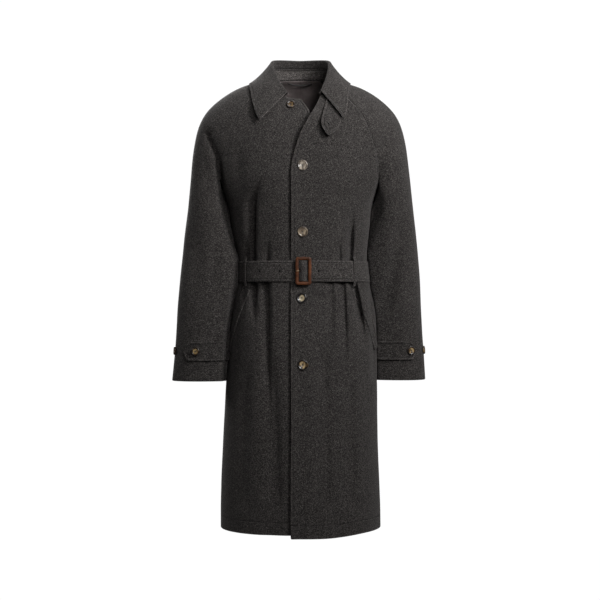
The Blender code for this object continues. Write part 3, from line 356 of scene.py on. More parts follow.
def shell_on(
    node, name, core=BODY_CORE, rounds=2, corner=CORNER_TURN, swaying=True, creased=False, grown=0.0
):
    """A cloth piece on its solid's form: merged, squared up, creased at its cut edges, and rounded."""
    piece = bare_copy(node, name)
    for layer in list(piece.data.uv_layers):
        piece.data.uv_layers.remove(layer)
    piece.data.uv_layers.new(name="weave")
    square_up(40)
    bpy.ops.mesh.select_all(action="DESELECT")
    bpy.ops.mesh.edges_select_sharp(sharpness=math.radians(corner))
    bpy.ops.mesh.mark_seam()
    bpy.ops.transform.edge_crease(value=EDGE_CREASE)
    bpy.ops.mesh.select_all(action="SELECT")
    bpy.ops.uv.unwrap(method="ANGLE_BASED", margin=0.0)
    bpy.ops.object.mode_set(mode="OBJECT")
    bm = bmesh.new()
    bm.from_mesh(piece.data)
    layer = bm.loops.layers.uv.active
    groups = sorted(flat_cuts(bm), key=lambda group: -sum(face.calc_area() for face in group))
    sizes = [lay_weave(group, layer) for group in groups]

    def faces_out(group):
        reach = 0.0
        for face in group:
            middle = face.calc_center_median()
            reach += face.calc_area() * face.normal.dot(middle - nearest_on_core(core, middle))
        return reach

    outer = max((0, 1), key=lambda k: faces_out(groups[k]))
    for face in bm.faces:
        face.material_index = 1
        face.smooth = True
    for face in groups[outer]:
        face.material_index = 0
    bm.verts.index_update()
    bm.verts.ensure_lookup_table()
    outlines[name] = face_outline(groups[outer])
    for group in groups[:2] if grown else ():
        ring, inward = face_outline(group)
        for k, side in zip(ring, inward):
            bm.verts[k].co -= Vector(side) * grown
    bm.to_mesh(piece.data)
    bm.free()
    round_off(piece, rounds)
    points = points_of(piece)
    if creased:
        points = points + crease(points)
    if swaying:
        points = points + sway(points)
    move_to(piece, points)
    piece["cut"] = sizes[outer]
    return piece


def face_side(piece):
    """A search tree over the side of a shell that faces out."""
    mesh = piece.data
    faces = [tuple(face.vertices) for face in mesh.polygons if face.material_index == 0]
    return BVHTree.FromPolygons([v.co[:] for v in mesh.vertices], faces)


def edge_run(piece, inset, keep):
    """Points and normals of a row sewn at a steady distance inside the cut edge that keep() picks."""
    ring, inward = outlines[piece.name]
    places = np.array([piece.data.vertices[k].co[:] for k in ring])
    chosen = np.array([keep(Vector(place)) for place in places])
    order = np.r_[: len(ring), 0]
    if not chosen.all():
        order = np.roll(order[:-1], -chosen.argmin())
        runs = np.split(order, np.nonzero(np.diff(chosen[order].astype(int)))[0] + 1)
        order = max((run for run in runs if chosen[run[0]]), key=len)
    places, inward = places[order], inward[order]
    length = np.r_[0.0, np.cumsum(np.linalg.norm(np.diff(places, axis=0), axis=1))]
    steps = np.linspace(0.0, length[-1], max(4, int(length[-1] / ROW_STEP)))
    line = np.stack([np.interp(steps, length, places[:, k]) for k in range(3)], 1)
    lean = np.stack([np.interp(steps, length, inward[:, k]) for k in range(3)], 1)
    lean /= np.linalg.norm(lean, axis=1)[:, None]
    tree = face_side(piece)
    row = [tree.find_nearest(Vector(place)) for place in line + inset * lean]
    return [hit[0] for hit in row], [hit[1] for hit in row]


def stitch_at(name, matrices, paint):
    """One mesh of thread or shade that holds the unit stitch at every given place."""
    base = np.c_[points_of(stitch_shape), np.ones(len(stitch_shape.data.vertices))]
    faces = [tuple(face.vertices) for face in stitch_shape.data.polygons]
    verts = np.concatenate([base @ np.array(matrix).T[:, :3] for matrix in matrices])
    every = [tuple(v + k * len(base) for v in face) for k in range(len(matrices)) for face in faces]
    mesh = bpy.data.meshes.new(name)
    mesh.from_pydata(verts.tolist(), [], every)
    mesh.shade_smooth()
    mesh.materials.append(paint)
    stitches = bpy.data.objects.new(name, mesh)
    bpy.context.scene.collection.objects.link(stitches)
    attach(stitches, "root")


def place_on(centre, run, normal, long, wide, thick):
    """The matrix that lays a unit shape on the cloth, its length along run, its height along the normal."""
    normal = Vector(normal).normalized()
    run = (Vector(run) - Vector(run).dot(normal) * normal).normalized()
    side = normal.cross(run)
    turn = Matrix((run * long, side * wide, normal * thick)).transposed().to_4x4()
    return Matrix.Translation(Vector(centre)) @ turn


LYING = (0.0, math.radians(90), 0.0)
bpy.ops.mesh.primitive_uv_sphere_add(segments=6, ring_count=5, radius=0.5, rotation=LYING)
stitch_shape = bpy.context.object
bpy.ops.object.transform_apply(location=False, rotation=True, scale=False)
stitch_shape.name = "stitch_shape"


def add_ramp(tree, level, *stops, blend="LINEAR"):
    """The colour that a ramp gives at a level; each stop is a place on the ramp and a colour."""
    node = add_node(tree, "ValToRGB", {0: level})
    node.color_ramp.interpolation = blend
    for _ in stops[2:]:
        node.color_ramp.elements.new(0.5)
    for element, (place, colour) in zip(node.color_ramp.elements, stops):
        element.position = place
        element.color = (*colour, 1.0)
    return node.outputs[0]


def grainy_paint(name, grain, dark, light, values):
    """A material whose colour wavers finely between two tones, for thread and for shade."""
    paint, tree, shader = new_paint(name)
    where = add_node(tree, "TexCoord").outputs["Object"]
    waver = add_node(tree, "TexNoise", {"Vector": where, "Scale": grain})
    plug(shader, {"Base Color": add_ramp(tree, waver.outputs[0], (0.0, dark), (1.0, light)), **values})
    return paint


charcoal_thread = grainy_paint(
    "charcoal_thread", 900.0, (0.020, 0.018, 0.017), (0.075, 0.068, 0.065), {"Roughness": 0.75}
)


def sew(name, rows):
    """Rows of short stitches lying in the cloth; rows are pairs of points and normals."""
    matrices = []
    for points, normals in rows:
        line = np.array([point[:] for point in points])
        gone = np.r_[0.0, np.cumsum(np.linalg.norm(np.diff(line, axis=0), axis=1))]
        for at in np.arange(STITCH_PITCH, gone[-1] - STITCH_PITCH, STITCH_PITCH):
            k = min(len(points) - 2, int(np.searchsorted(gone, at)) - 1)
            share = (at - gone[k]) / max(gone[k + 1] - gone[k], 1e-9)
            place = points[k].lerp(points[k + 1], share) - normals[k] * STITCH_SUNK
            run = points[k + 1] - points[k]
            matrices.append(place_on(place, run, normals[k], STITCH_LENGTH, STITCH_THICK * 1.5, STITCH_THICK))
    stitch_at(name, matrices, charcoal_thread)


def press_rows(piece, rows):
    """Marks the cloth with how near it lies to its sewn rows and to its cut edge, for the finish to read."""
    points = points_of(piece)
    ring, _ = outlines[piece.name]
    rim = np.array([piece.data.vertices[k].co[:] for k in ring + ring[:1]])

    def gap_to(line):
        gap = np.full(len(points), 1.0)
        for a, b in zip(line[:-1], line[1:]):
            span = b - a
            near = np.abs(points - a).max(1) < ROW_REACH
            if not near.any() or not span.any():
                continue
            share = np.clip((points[near] - a) @ span / (span @ span), 0.0, 1.0)
            away = np.linalg.norm(points[near] - a - share[:, None] * span, axis=1)
            gap[near] = np.minimum(gap[near], away)
        return gap

    row_gap = np.full(len(points), 1.0)
    for inset, keep in rows:
        picked = np.array([keep(Vector(place)) for place in rim])
        parts = np.split(np.arange(len(rim)), np.nonzero(np.diff(picked.astype(int)))[0] + 1)
        for part in parts:
            if picked[part[0]] and len(part) > 1:
                row_gap = np.minimum(row_gap, np.abs(gap_to(rim[part]) - inset))
    for mark, gap in (("edge", gap_to(rim)), ("row", row_gap)):
        layer = piece.data.attributes.new(mark, "FLOAT", "POINT")
        layer.data.foreach_set("value", gap)


def result_of(tree, kind, *values):
    """What one arithmetic node makes of its values."""
    node = add_node(tree, "Math")
    node.operation = kind
    plug(node, dict(enumerate(values)))
    return node.outputs[0]


CHEVRON_WIDE, RIDGE_PITCH, YARN_SIZE, FIBRE_SIZE = 0.0085, 0.0032, 0.0012, 0.0006
RIDGE_SHARE, YARN_SHARE, FIBRE_SHARE, EDGE_SHARE, EDGE_BAND = 0.09, 0.68, 0.18, 0.13, 0.0032
WOOL_DYES, WOOL_TINT = ((0.14, 0.0075), (0.42, 0.023), (0.68, 0.056), (0.92, 0.150)), (1.09, 0.985, 0.935)
NAP_STRENGTH, NAP_DEEP = 0.55, 0.0006


def fleck_wool(name, tone=1.0):
    """Charcoal wool: a herringbone twill of dark and pale mixed yarns under a short brushed nap."""
    wool, tree, shader = new_paint(name)
    weave = laid_flat(tree, "weave")
    across, up, _ = add_node(tree, "SeparateXYZ", {0: weave}).outputs
    slant = result_of(tree, "ADD", up, result_of(tree, "PINGPONG", across, CHEVRON_WIDE))
    ridge = result_of(tree, "SINE", result_of(tree, "MULTIPLY", slant, 2 * math.pi / RIDGE_PITCH))
    ridge = result_of(tree, "MULTIPLY_ADD", ridge, 0.5, 0.5)
    yarns = add_node(tree, "TexVoronoi", {"Vector": weave, "Scale": 1 / YARN_SIZE})
    yarn = add_node(tree, "SeparateColor", {0: yarns.outputs["Color"]}).outputs[0]
    fibre = add_node(tree, "TexNoise", {"Vector": weave, "Scale": 1 / FIBRE_SIZE, "Detail": 3.0}).outputs[0]
    mixed = result_of(tree, "MULTIPLY_ADD", ridge, RIDGE_SHARE, result_of(tree, "MULTIPLY", yarn, YARN_SHARE))
    mixed = result_of(tree, "MULTIPLY_ADD", fibre, FIBRE_SHARE, mixed)
    rim, row = add_node(tree, "Attribute"), add_node(tree, "Attribute")
    rim.attribute_name, row.attribute_name = "edge", "row"
    fade = {"Value": rim.outputs["Fac"], "From Max": EDGE_BAND, "To Min": EDGE_SHARE, "To Max": 0.0}
    mixed = result_of(tree, "ADD", mixed, add_node(tree, "MapRange", fade).outputs[0])
    dyes = [(place, [grey * tone * part for part in WOOL_TINT]) for place, grey in WOOL_DYES]
    groove = add_node(tree, "MapRange", {"Value": row.outputs["Fac"], "From Max": GROOVE_WIDE})
    groove.interpolation_type = "SMOOTHSTEP"
    sunk = {"Strength": 1.0, "Distance": GROOVE_DEEP, "Height": groove.outputs[0]}
    nap = {"Strength": NAP_STRENGTH, "Distance": NAP_DEEP, "Height": mixed}
    nap["Normal"] = add_node(tree, "Bump", sunk).outputs[0]
    plug(shader, {
        "Base Color": add_ramp(tree, mixed, *dyes, blend="EASE"),
        "Roughness": 0.92,
        "Specular IOR Level": 0.18,
        "Sheen Weight": 0.12,
        "Sheen Roughness": 0.55,
        "Sheen Tint": (0.9, 0.86, 0.84, 1.0),
        "Normal": add_node(tree, "Bump", nap).outputs[0],
    })
    return wool


coat_wool = fleck_wool("coat_wool")
inside_wool = fleck_wool("inside_wool", tone=0.85)


def dress(piece, node, rows=(), cloth=coat_wool, wrong=inside_wool):
    """Finishes a cloth piece: its rows of stitches, its cloth, and what it stands for."""
    press_rows(piece, rows)
    piece.data.materials.append(cloth)
    piece.data.materials.append(wrong)
    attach(piece, "root")
    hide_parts(node)
    if rows:
        sew(node + "_stitches", [edge_run(piece, inset, keep) for inset, keep in rows])


RAGLAN_STARTS, RAGLAN_ENDS = 0.094, -0.262
BACK_HEM_BAND = 0.012


def all_round(place):
    """Picks the whole cut edge."""
    return True


def at_foot(node, band):
    """Picks the cut edge at the foot of a piece."""
    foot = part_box(node)[0][2]
    return lambda place: place.z < foot + band


def at_raglan(way):
    """Picks the slanting armhole edge on one side of a body panel, from the neck to the underarm."""
    return lambda place: way * place.x > RAGLAN_STARTS and place.z > RAGLAN_ENDS


back_cloth = shell_on("back", "back_cloth", creased=True, grown=SEAM_GROWN)
back_rows = [(HEM_ROW, at_foot("back", BACK_HEM_BAND)), (SEAM_ROW, at_raglan(-1)), (SEAM_ROW, at_raglan(1))]
dress(back_cloth, "back", rows=back_rows)

# The fronts: the wearer's left laps over the right and hangs a little lower. Both are the same wool, turned
# in and edge-stitched down the opening, with the hem turned up and caught by one row.
OPENING_REACH, OPENING_LIFT = 0.027, 0.0034
LAPEL_LIFT, LAPEL_LEVEL, LAPEL_FADE = 0.0085, -0.185, 0.07
BELT_HOLD, HOLD_REACH, HOLD_FADE = 0.12, 0.028, 0.035
FRONT_HEM_BAND, OPENING_BAND, OPENING_FOOT, OPENING_DEPTH = 0.014, 0.045, 0.004, -0.05


def raise_edge(piece, keep, reach, lift):
    """Stands a stretch of cut edge off what lies under it, most at the edge itself."""
    ring, _ = outlines[piece.name]
    points = points_of(piece)
    gap = np.full(len(points), reach)
    for here, after in zip(points[ring], points[ring[1:] + ring[:1]]):
        if keep(Vector(here)) or keep(Vector(after)):
            run = after - here
            along = np.clip((points - here) @ run / (run @ run), 0.0, 1.0)
            gap = np.minimum(gap, np.linalg.norm(points - here - along[:, None] * run, axis=1))
    rise = 1.0 - gap / reach
    calm = np.clip((np.abs(points[:, 2] - BELT_LEVEL) - HOLD_REACH) / HOLD_FADE, BELT_HOLD, 1.0)
    most = lift * calm + LAPEL_LIFT * np.clip((points[:, 2] - LAPEL_LEVEL) / LAPEL_FADE, 0.0, 1.0)
    points[:, 1] -= most * ease(rise)
    move_to(piece, points)


for node, way in (("front_left", 1), ("front_right", -1)):
    low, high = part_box(node)
    inner = low[0] if way > 0 else high[0]

    def at_opening(place, inner=inner, foot=low[2] + OPENING_FOOT):
        return abs(place.x - inner) < OPENING_BAND and place.z > foot and place.y < OPENING_DEPTH

    front = shell_on(node, node + "_cloth", rounds=3, creased=True, grown=SEAM_GROWN)
    if way > 0:
        raise_edge(front, at_opening, OPENING_REACH, OPENING_LIFT)
    rows = [(EDGE_ROW, at_opening), (HEM_ROW, at_foot(node, FRONT_HEM_BAND)), (SEAM_ROW, at_raglan(way))]
    dress(front, node, rows=rows)

# The sleeves: raglan, cut in a front and a back half that run up to the neck, with the cuff turned in and
# caught by a row of stitches. They hang beside the body with a soft break at the elbow.
SLEEVE_CORE_TOP, SLEEVE_CORE_FOOT = (0.19, 0.0, -0.10), (0.250, 0.01, -0.735)
CUFF_ROW, CUFF_BAND = 0.028, 0.010
LEAN_MOST, LEAN_CLEAR, LEAN_NEAR, LEAN_FAR = 0.016, 0.0006, 0.012, 0.036
LEAN_TOP, LEAN_FADE, LEAN_FROM, LEAN_WITHIN = -0.215, 0.03, 0.6, 0.02


def surface_of(piece):
    """A search tree over all the faces of a piece."""
    mesh = piece.data
    return BVHTree.FromPolygons([v.co[:] for v in mesh.vertices], [tuple(f.vertices) for f in mesh.polygons])


body_trees = [surface_of(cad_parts[name]) for name in ("front_left", "front_right", "back", "belt")]


def lean_on_body(sleeve, core, sign):
    """Lets the inner side of a hanging sleeve sink against the body, as far as there is room."""
    points = points_of(sleeve)
    own = surface_of(sleeve)
    for place in points:
        if place[2] > LEAN_TOP:
            continue
        middle = nearest_on_core(core, Vector(place))
        weight = min(1.0, max(0.0, (sign * (middle.x - place[0]) - LEAN_NEAR) / (LEAN_FAR - LEAN_NEAR)))
        if weight == 0.0:
            continue
        inward = Vector((-sign, 0.0, 0.0))
        start = Vector((sign * LEAN_FROM, place[1], place[2]))
        hits = [tree.ray_cast(start, inward)[0] for tree in body_trees]
        wall = max((sign * hit.x for hit in hits if hit), default=0.0)
        outward = own.ray_cast(Vector((sign * LEAN_WITHIN, place[1], place[2])), -inward)[0]
        skin = sign * outward.x if outward else sign * place[0]
        room = min(LEAN_MOST, max(0.0, skin - wall - LEAN_CLEAR))
        fade = min(1.0, (LEAN_TOP - place[2]) / LEAN_FADE)
        place[0] -= sign * room * weight * fade
    move_to(sleeve, points)


cores = {}
for side, sign in (("left", 1), ("right", -1)):
    cores[side] = tuple((sign * x, y, z) for x, y, z in (SLEEVE_CORE_TOP, SLEEVE_CORE_FOOT))
    for half in ("front", "back"):
        node = "sleeve_%s_%s" % (side, half)
        sleeve = shell_on(node, node + "_cloth", core=cores[side], creased=True, grown=SEAM_GROWN)
        lean_on_body(sleeve, cores[side], sign)
        dress(sleeve, node, rows=[(CUFF_ROW, at_foot(node, CUFF_BAND))])

# The collar: a stand that wraps the neck and a leaf that rolls over it and falls to two points, both of the
# coat's wool. The leaf is stitched close to its edge all round.
NECK_CORE = ((0.0, -0.02, 0.12), (0.0, -0.02, -0.20))
POINT_LEVEL, POINT_RISE, POINT_LIFT = -0.030, 0.065, 0.0095


def lift_points(piece, level=POINT_LEVEL, rise=POINT_RISE, lift=POINT_LIFT):
    """Springs the low end of a collar or tab off the chest."""
    points = points_of(piece)
    share = np.clip((level - points[:, 2]) / rise, 0.0, 1.0)
    points[:, 1] -= lift * ease(share)
    move_to(piece, points)


# The collar's under side is the coat's wool painted 2.1 times lighter: painted light on the band inside the
# neck, which lies in shade.
painted_lit_under_collar_wool = fleck_wool("painted_lit_under_collar_wool", tone=2.1)
for node, folded in (("collar_stand", False), ("collar_leaf", True)):
    collar = shell_on(node, node + "_cloth", core=NECK_CORE, swaying=False, corner=SHARP_TURN)
    if folded:
        lift_points(collar)
    rows = [(EDGE_ROW, all_round)] if folded else []
    dress(collar, node, rows=rows, wrong=painted_lit_under_collar_wool)

# The lining: a smooth dark satin panel behind the neck opening with an ease pleat down its middle, felled
# to the neck seam. It shows only through the open collar.
PLEAT_AT, PLEAT_WIDE, PLEAT_DEEP = 0.0015, 0.0035, 0.0016
SATIN_TINTS = ((0.145, 0.118, 0.115), (0.270, 0.226, 0.221))


def satin_lining(name, depth=1.0):
    """Dark warm-grey twill-woven satin with a soft sheen."""
    satin, tree, shader = new_paint(name)
    where = laid_flat(tree, "weave")
    fine = add_node(tree, "TexWave", {"Vector": where, "Scale": 700.0, "Distortion": 0.6})
    fine.bands_direction = "DIAGONAL"
    soft = add_node(tree, "TexNoise", {"Vector": where, "Scale": 45.0})
    blend = result_of(tree, "MULTIPLY_ADD", fine.outputs["Fac"], 0.35, soft.outputs[0])
    dark, pale = (tuple(part * depth for part in tint) for tint in SATIN_TINTS)
    twill = add_node(tree, "Bump", {"Strength": 0.25, "Distance": 0.0004, "Height": blend})
    plug(shader, {
        "Base Color": add_ramp(tree, blend, (0.2, dark), (1.0, pale)),
        "Roughness": 0.42,
        "Sheen Weight": 0.25,
        "Sheen Roughness": 0.3,
        "Normal": twill.outputs[0],
    })
    return satin


lining_satin = satin_lining("lining_satin")
lining = shell_on("back_lining", "back_lining_satin", core=NECK_CORE, rounds=3)
lining_points = points_of(lining)
pleat = np.clip((lining_points[:, 0] - PLEAT_AT) / PLEAT_WIDE + 0.5, 0.0, 1.0)
lining_points[:, 1] -= PLEAT_DEEP * ease(pleat)
move_to(lining, lining_points)
dress(lining, "back_lining", cloth=lining_satin, wrong=lining_satin)

# The hanger loop: a narrow rolled strip of satin, darker than the lining, sewn down at both ends over the
# neck seam.
loop_satin = satin_lining("loop_satin", depth=0.07)
hanger = shell_on("hanger_loop", "hanger_loop_cloth", core=NECK_CORE, swaying=False)
dress(hanger, "hanger_loop", cloth=loop_satin, wrong=loop_satin)

# The throat tab: a pointed strip of wool under the left collar point, with a buttonhole near its tip. It is
# edge-stitched all round, and hangs free over the front.
BOUND_PITCH, BOUND_AWAY, BOUND_END = 0.00075, 0.0014, 0.0007
BOUND_SIDE_BAR, BOUND_END_BAR = (0.0019, 0.0008, 0.0008), (0.0022, 0.0008, 0.0008)
SLIT_WIDE, SLIT_THICK, EYE_THICK = 0.0017, 0.0012, 0.0022


def bound_hole(name, centre, run, normal, length, eye=0.0):
    """A worked buttonhole: thread bars round a slit, with a round eye if asked; slit and eye are near-black
    sheets of painted shade.
    """
    run, normal = Vector(run), Vector(normal).normalized()
    run = (run - run.dot(normal) * normal).normalized()
    side = normal.cross(run)
    bars = []
    for at in np.arange(-length / 2, length / 2 + 0.0001, BOUND_PITCH):
        for lean in (-BOUND_AWAY, BOUND_AWAY):
            place = centre + run * at + side * lean
            bars.append(place_on(place, side, normal, *BOUND_SIDE_BAR))
    for end in (-1, 1):
        for lean in np.linspace(-BOUND_AWAY, BOUND_AWAY, 4):
            place = centre + run * end * (length / 2 + BOUND_END) + side * lean
            bars.append(place_on(place, run, normal, *BOUND_END_BAR))
    stitch_at(name, bars, charcoal_thread)
    # The slit and the eye are filled with near-black sheets of painted shade.
    shade_sheets = [place_on(centre, run, normal, length, SLIT_WIDE, SLIT_THICK)]
    if eye:
        shade_sheets.append(place_on(centre, run, normal, eye, eye, EYE_THICK))
    stitch_at(name + "_slit_shade", shade_sheets, painted_gap_shade)


# Near-black painted shade for the insides of slits and holes.
painted_gap_shade = grainy_paint(
    "gap_shade", 1500.0, (0.002, 0.002, 0.002), (0.008, 0.007, 0.007),
    {"Roughness": 0.95, "Specular IOR Level": 0.05},
)
TAB_LEVEL, TAB_RISE, TAB_LIFT = -0.050, 0.060, 0.0085
TAB_HOLE, TAB_HOLE_RUN = (0.0690, -0.1130), (0.55, -0.83)
TAB_HOLE_LENGTH, TAB_HOLE_EYE = 0.013, 0.0034
tab = shell_on("throat_tab", "throat_tab_cloth", rounds=3)
lift_points(tab, level=TAB_LEVEL, rise=TAB_RISE, lift=TAB_LIFT)
dress(tab, "throat_tab", rows=[(EDGE_ROW, all_round)])


def on_face(piece, x, z):
    """The point and normal of a shell's outer side where a straight line from the front meets it."""
    hit = face_side(piece).ray_cast(Vector((x, -1.0, z)), Vector((0.0, 1.0, 0.0)))
    return hit[0], hit[1]


place, normal = on_face(tab, *TAB_HOLE)
run = (TAB_HOLE_RUN[0], 0.0, TAB_HOLE_RUN[1])
bound_hole("throat_tab_hole", place, run, normal, TAB_HOLE_LENGTH, eye=TAB_HOLE_EYE)

# The pocket welts: slanting strips of wool set over the pocket mouths and sunk a little into the fronts,
# stitched round their edges.
WELT_SUNK = 0.0008
for side in ("left", "right"):
    node = "pocket_welt_" + side
    welt = shell_on(node, node + "_cloth", creased=True)
    sunk_points = points_of(welt)
    sunk_points[:, 1] += WELT_SUNK
    move_to(welt, sunk_points)
    dress(welt, node, rows=[(EDGE_ROW, all_round)])

# The belt: a long doubled strip of the coat's wool with a stitched edge and five sewn eyelets, threaded
# through a narrow loop on each side seam and drawn through the buckle.
EYELET_RING, EYELET_BARS, EYELET_LEVEL = 0.0026, 18, -0.46775
EYELET_BESIDE, EYELET_BAR, EYELET_HOLE = 0.004, (0.0014, 0.0008, 0.0006), (0.0042, 0.0042, 0.0006)
BELT_EYELETS = (-0.1387, -0.098, -0.049, 0.0443, 0.0953)
BELT_EDGE_AWAY = 0.018
belt_middle = sum(corner[2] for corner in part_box("belt")) / 2
belt = shell_on("belt", "belt_cloth", corner=SHARP_TURN)
# Painted light: the belt's face is the coat's wool painted 1.2 times lighter than on the coat.
painted_lit_belt_wool = fleck_wool("painted_lit_belt_wool", tone=1.2)


def at_belt_edge(low_edge):
    """Picks the long lower or upper edge of the belt."""
    return lambda place: (place.z < belt_middle) == low_edge and abs(place.z - belt_middle) > BELT_EDGE_AWAY


rows = [(EDGE_ROW, at_belt_edge(True)), (EDGE_ROW, at_belt_edge(False))]
dress(belt, "belt", rows=rows, cloth=painted_lit_belt_wool)
bars, shade_sheets = [], []
for x in BELT_EYELETS:
    place, normal = on_face(belt, x + EYELET_BESIDE, EYELET_LEVEL)
    place = place - Vector((EYELET_BESIDE, 0.0, 0.0))
    for turn in np.linspace(0.0, 2 * math.pi, EYELET_BARS, endpoint=False):
        out = Vector((math.cos(turn), 0.0, math.sin(turn)))
        bars.append(place_on(place + out * EYELET_RING, out, normal, *EYELET_BAR))
    # Each eyelet hole is filled with a near-black disc of painted shade.
    shade_sheets.append(place_on(place, (1.0, 0.0, 0.0), normal, *EYELET_HOLE))
stitch_at("belt_eyelets", bars, charcoal_thread)
stitch_at("belt_eyelet_shade", shade_sheets, painted_gap_shade)
for side in ("left", "right"):
    node = "belt_loop_" + side
    loop = shell_on(node, node + "_cloth")
    dress(loop, node)

# The cuff straps: pointed strips of wool caught in the underarm seam of each sleeve, stitched round, and
# buttoned over the cuff with a second button further round for a closer fit. Their edges stand off a little.
STRAP_REACH, STRAP_LIFT = 0.010, 0.0016
for side, sign in (("left", 1), ("right", -1)):
    node = "cuff_strap_" + side
    strap = shell_on(node, node + "_cloth", core=cores[side], rounds=3, creased=True)
    lean_on_body(strap, cores[side], sign)
    raise_edge(strap, all_round, STRAP_REACH, STRAP_LIFT)
    dress(strap, node, rows=[(EDGE_ROW, all_round)])

# The buckle: a rounded frame covered in brown leather with a tooled line round its face, and a thin bar
# behind it that the belt turns round. It is raised by insets from a flat plate, and mirrored front to back.
BUCKLE_STEPS = (
    # inset, rise, mm: from the outer edge over the crown and its tooled line to the inner edge
    (0.40, 1.30), (0.80, 0.75), (1.45, 0.35), (1.00, 0.05), (0.25, -0.32), (0.25, 0.32),
    (1.00, -0.05), (1.45, -0.35), (0.80, -0.75), (0.40, -1.30),
)
BUCKLE_CORNER, BAR_THICK, BAR_BEHIND = 0.0070, 0.0013, 0.0034


def own_points(node):
    """The different corners of a solid, as rows of numbers."""
    return np.unique(points_of(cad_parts[node]).round(6), axis=0)


def brown_leather():
    """Smooth brown calf with fine pores, stained darker in patches."""
    calf, tree, shader = new_paint("brown_leather")
    where = add_node(tree, "TexCoord").outputs["Object"]
    pores = add_node(tree, "TexVoronoi", {"Vector": where, "Scale": 1400.0}).outputs["Distance"]
    stain = add_node(tree, "TexNoise", {"Vector": where, "Scale": 90.0, "Detail": 4.0}).outputs[0]
    shine = add_node(tree, "MapRange", {"Value": stain, "To Min": 0.34, "To Max": 0.56})
    grain = add_node(tree, "Bump", {"Strength": 0.35, "Distance": 0.0002, "Height": pores})
    plug(shader, {
        "Base Color": add_ramp(tree, stain, (0.3, (0.040, 0.012, 0.004)), (0.72, (0.165, 0.050, 0.015))),
        "Roughness": shine.outputs[0],
        "Specular IOR Level": 0.30,
        "Normal": grain.outputs[0],
    })
    return calf


frame_points = own_points("buckle_frame")
frame_low, frame_high = frame_points.min(0), frame_points.max(0)
lean = np.linalg.eigh(np.cov((frame_points - frame_points.mean(0)).T))[1][:, 0]
lean = Vector(lean if lean[1] < 0 else -lean)
crown = sum(step[1] for step in BUCKLE_STEPS if step[1] > 0) / 2000
bar_wide = sum(step[0] for step in BUCKLE_STEPS) / 1000
bpy.ops.object.select_all(action="DESELECT")
bpy.ops.mesh.primitive_plane_add(size=1.0)
buckle = bpy.context.object
buckle.name = "buckle_leather"
buckle.scale = (frame_high[0] - frame_low[0], frame_high[2] - frame_low[2], 1.0)
bpy.ops.object.transform_apply(location=False, rotation=False, scale=True)
bpy.ops.object.mode_set(mode="EDIT")
bpy.ops.mesh.select_all(action="SELECT")
bpy.ops.mesh.bevel(offset=BUCKLE_CORNER, segments=7, affect="VERTICES")
for inset, rise in BUCKLE_STEPS:
    bpy.ops.mesh.inset(thickness=inset / 1000, depth=0.0)
    bpy.ops.transform.translate(value=(0.0, 0.0, rise / 1000))
bpy.ops.mesh.delete(type="FACE")
bpy.ops.object.mode_set(mode="OBJECT")
bpy.ops.object.modifier_add(type="MIRROR")
buckle.modifiers[-1].use_axis = (False, False, True)
buckle.modifiers[-1].merge_threshold = 1e-5
bpy.ops.object.modifier_apply(modifier=buckle.modifiers[-1].name)
round_off(buckle, 2)
bar_long = frame_high[2] - frame_low[2] - bar_wide
bar_place, bar_turn = (0.0, 0.0, -BAR_BEHIND), (math.radians(90), 0.0, 0.0)
bpy.ops.mesh.primitive_cylinder_add(
    vertices=20, radius=BAR_THICK, depth=bar_long, location=bar_place, rotation=bar_turn
)
bar = bpy.context.object
pick(buckle)
bar.select_set(True)
bpy.ops.object.join()
bpy.ops.object.mode_set(mode="EDIT")
bpy.ops.mesh.select_all(action="SELECT")
bpy.ops.mesh.normals_make_consistent(inside=False)
bpy.ops.object.mode_set(mode="OBJECT")
reach = max(lean.dot(Vector(point)) for point in frame_points)
middle = Vector((frame_low + frame_high) / 2)
middle.y = frame_points[:, 1].mean()
middle += lean * (reach - crown - lean.dot(middle))
upright = Vector((0.0, 0.0, 1.0))
turn = Matrix((upright.cross(lean), upright, lean)).transposed().to_4x4()
buckle.data.transform(Matrix.Translation(middle) @ turn)
buckle.data.shade_smooth()
buckle.data.materials.append(brown_leather())
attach(buckle, "root")
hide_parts("buckle_frame")


# The prong: a bent metal tongue hinged on the buckle's bar. It passes through an eyelet of the belt, and its
# tip rests on the frame.
def aged_brass():
    """Pale brass gone dull, with darker tarnish in patches."""
    brass, tree, shader = new_paint("aged_brass")
    where = add_node(tree, "TexCoord").outputs["Object"]
    tarnish = add_node(tree, "TexNoise", {"Vector": where, "Scale": 420.0}).outputs[0]
    rough = add_node(tree, "MapRange", {"Value": tarnish, "To Min": 0.24, "To Max": 0.48})
    plug(shader, {
        "Base Color": add_ramp(tree, tarnish, (0.0, (0.26, 0.19, 0.11)), (1.0, (0.62, 0.50, 0.34))),
        "Metallic": 1.0,
        "Roughness": rough.outputs[0],
    })
    return brass


prong = bare_copy("buckle_prong", "buckle_prong_brass")
square_up(60)
bpy.ops.object.mode_set(mode="OBJECT")
round_off(prong, 2)
prong.data.shade_smooth()
prong.data.materials.append(aged_brass())
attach(prong, "root")
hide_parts("buckle_prong")

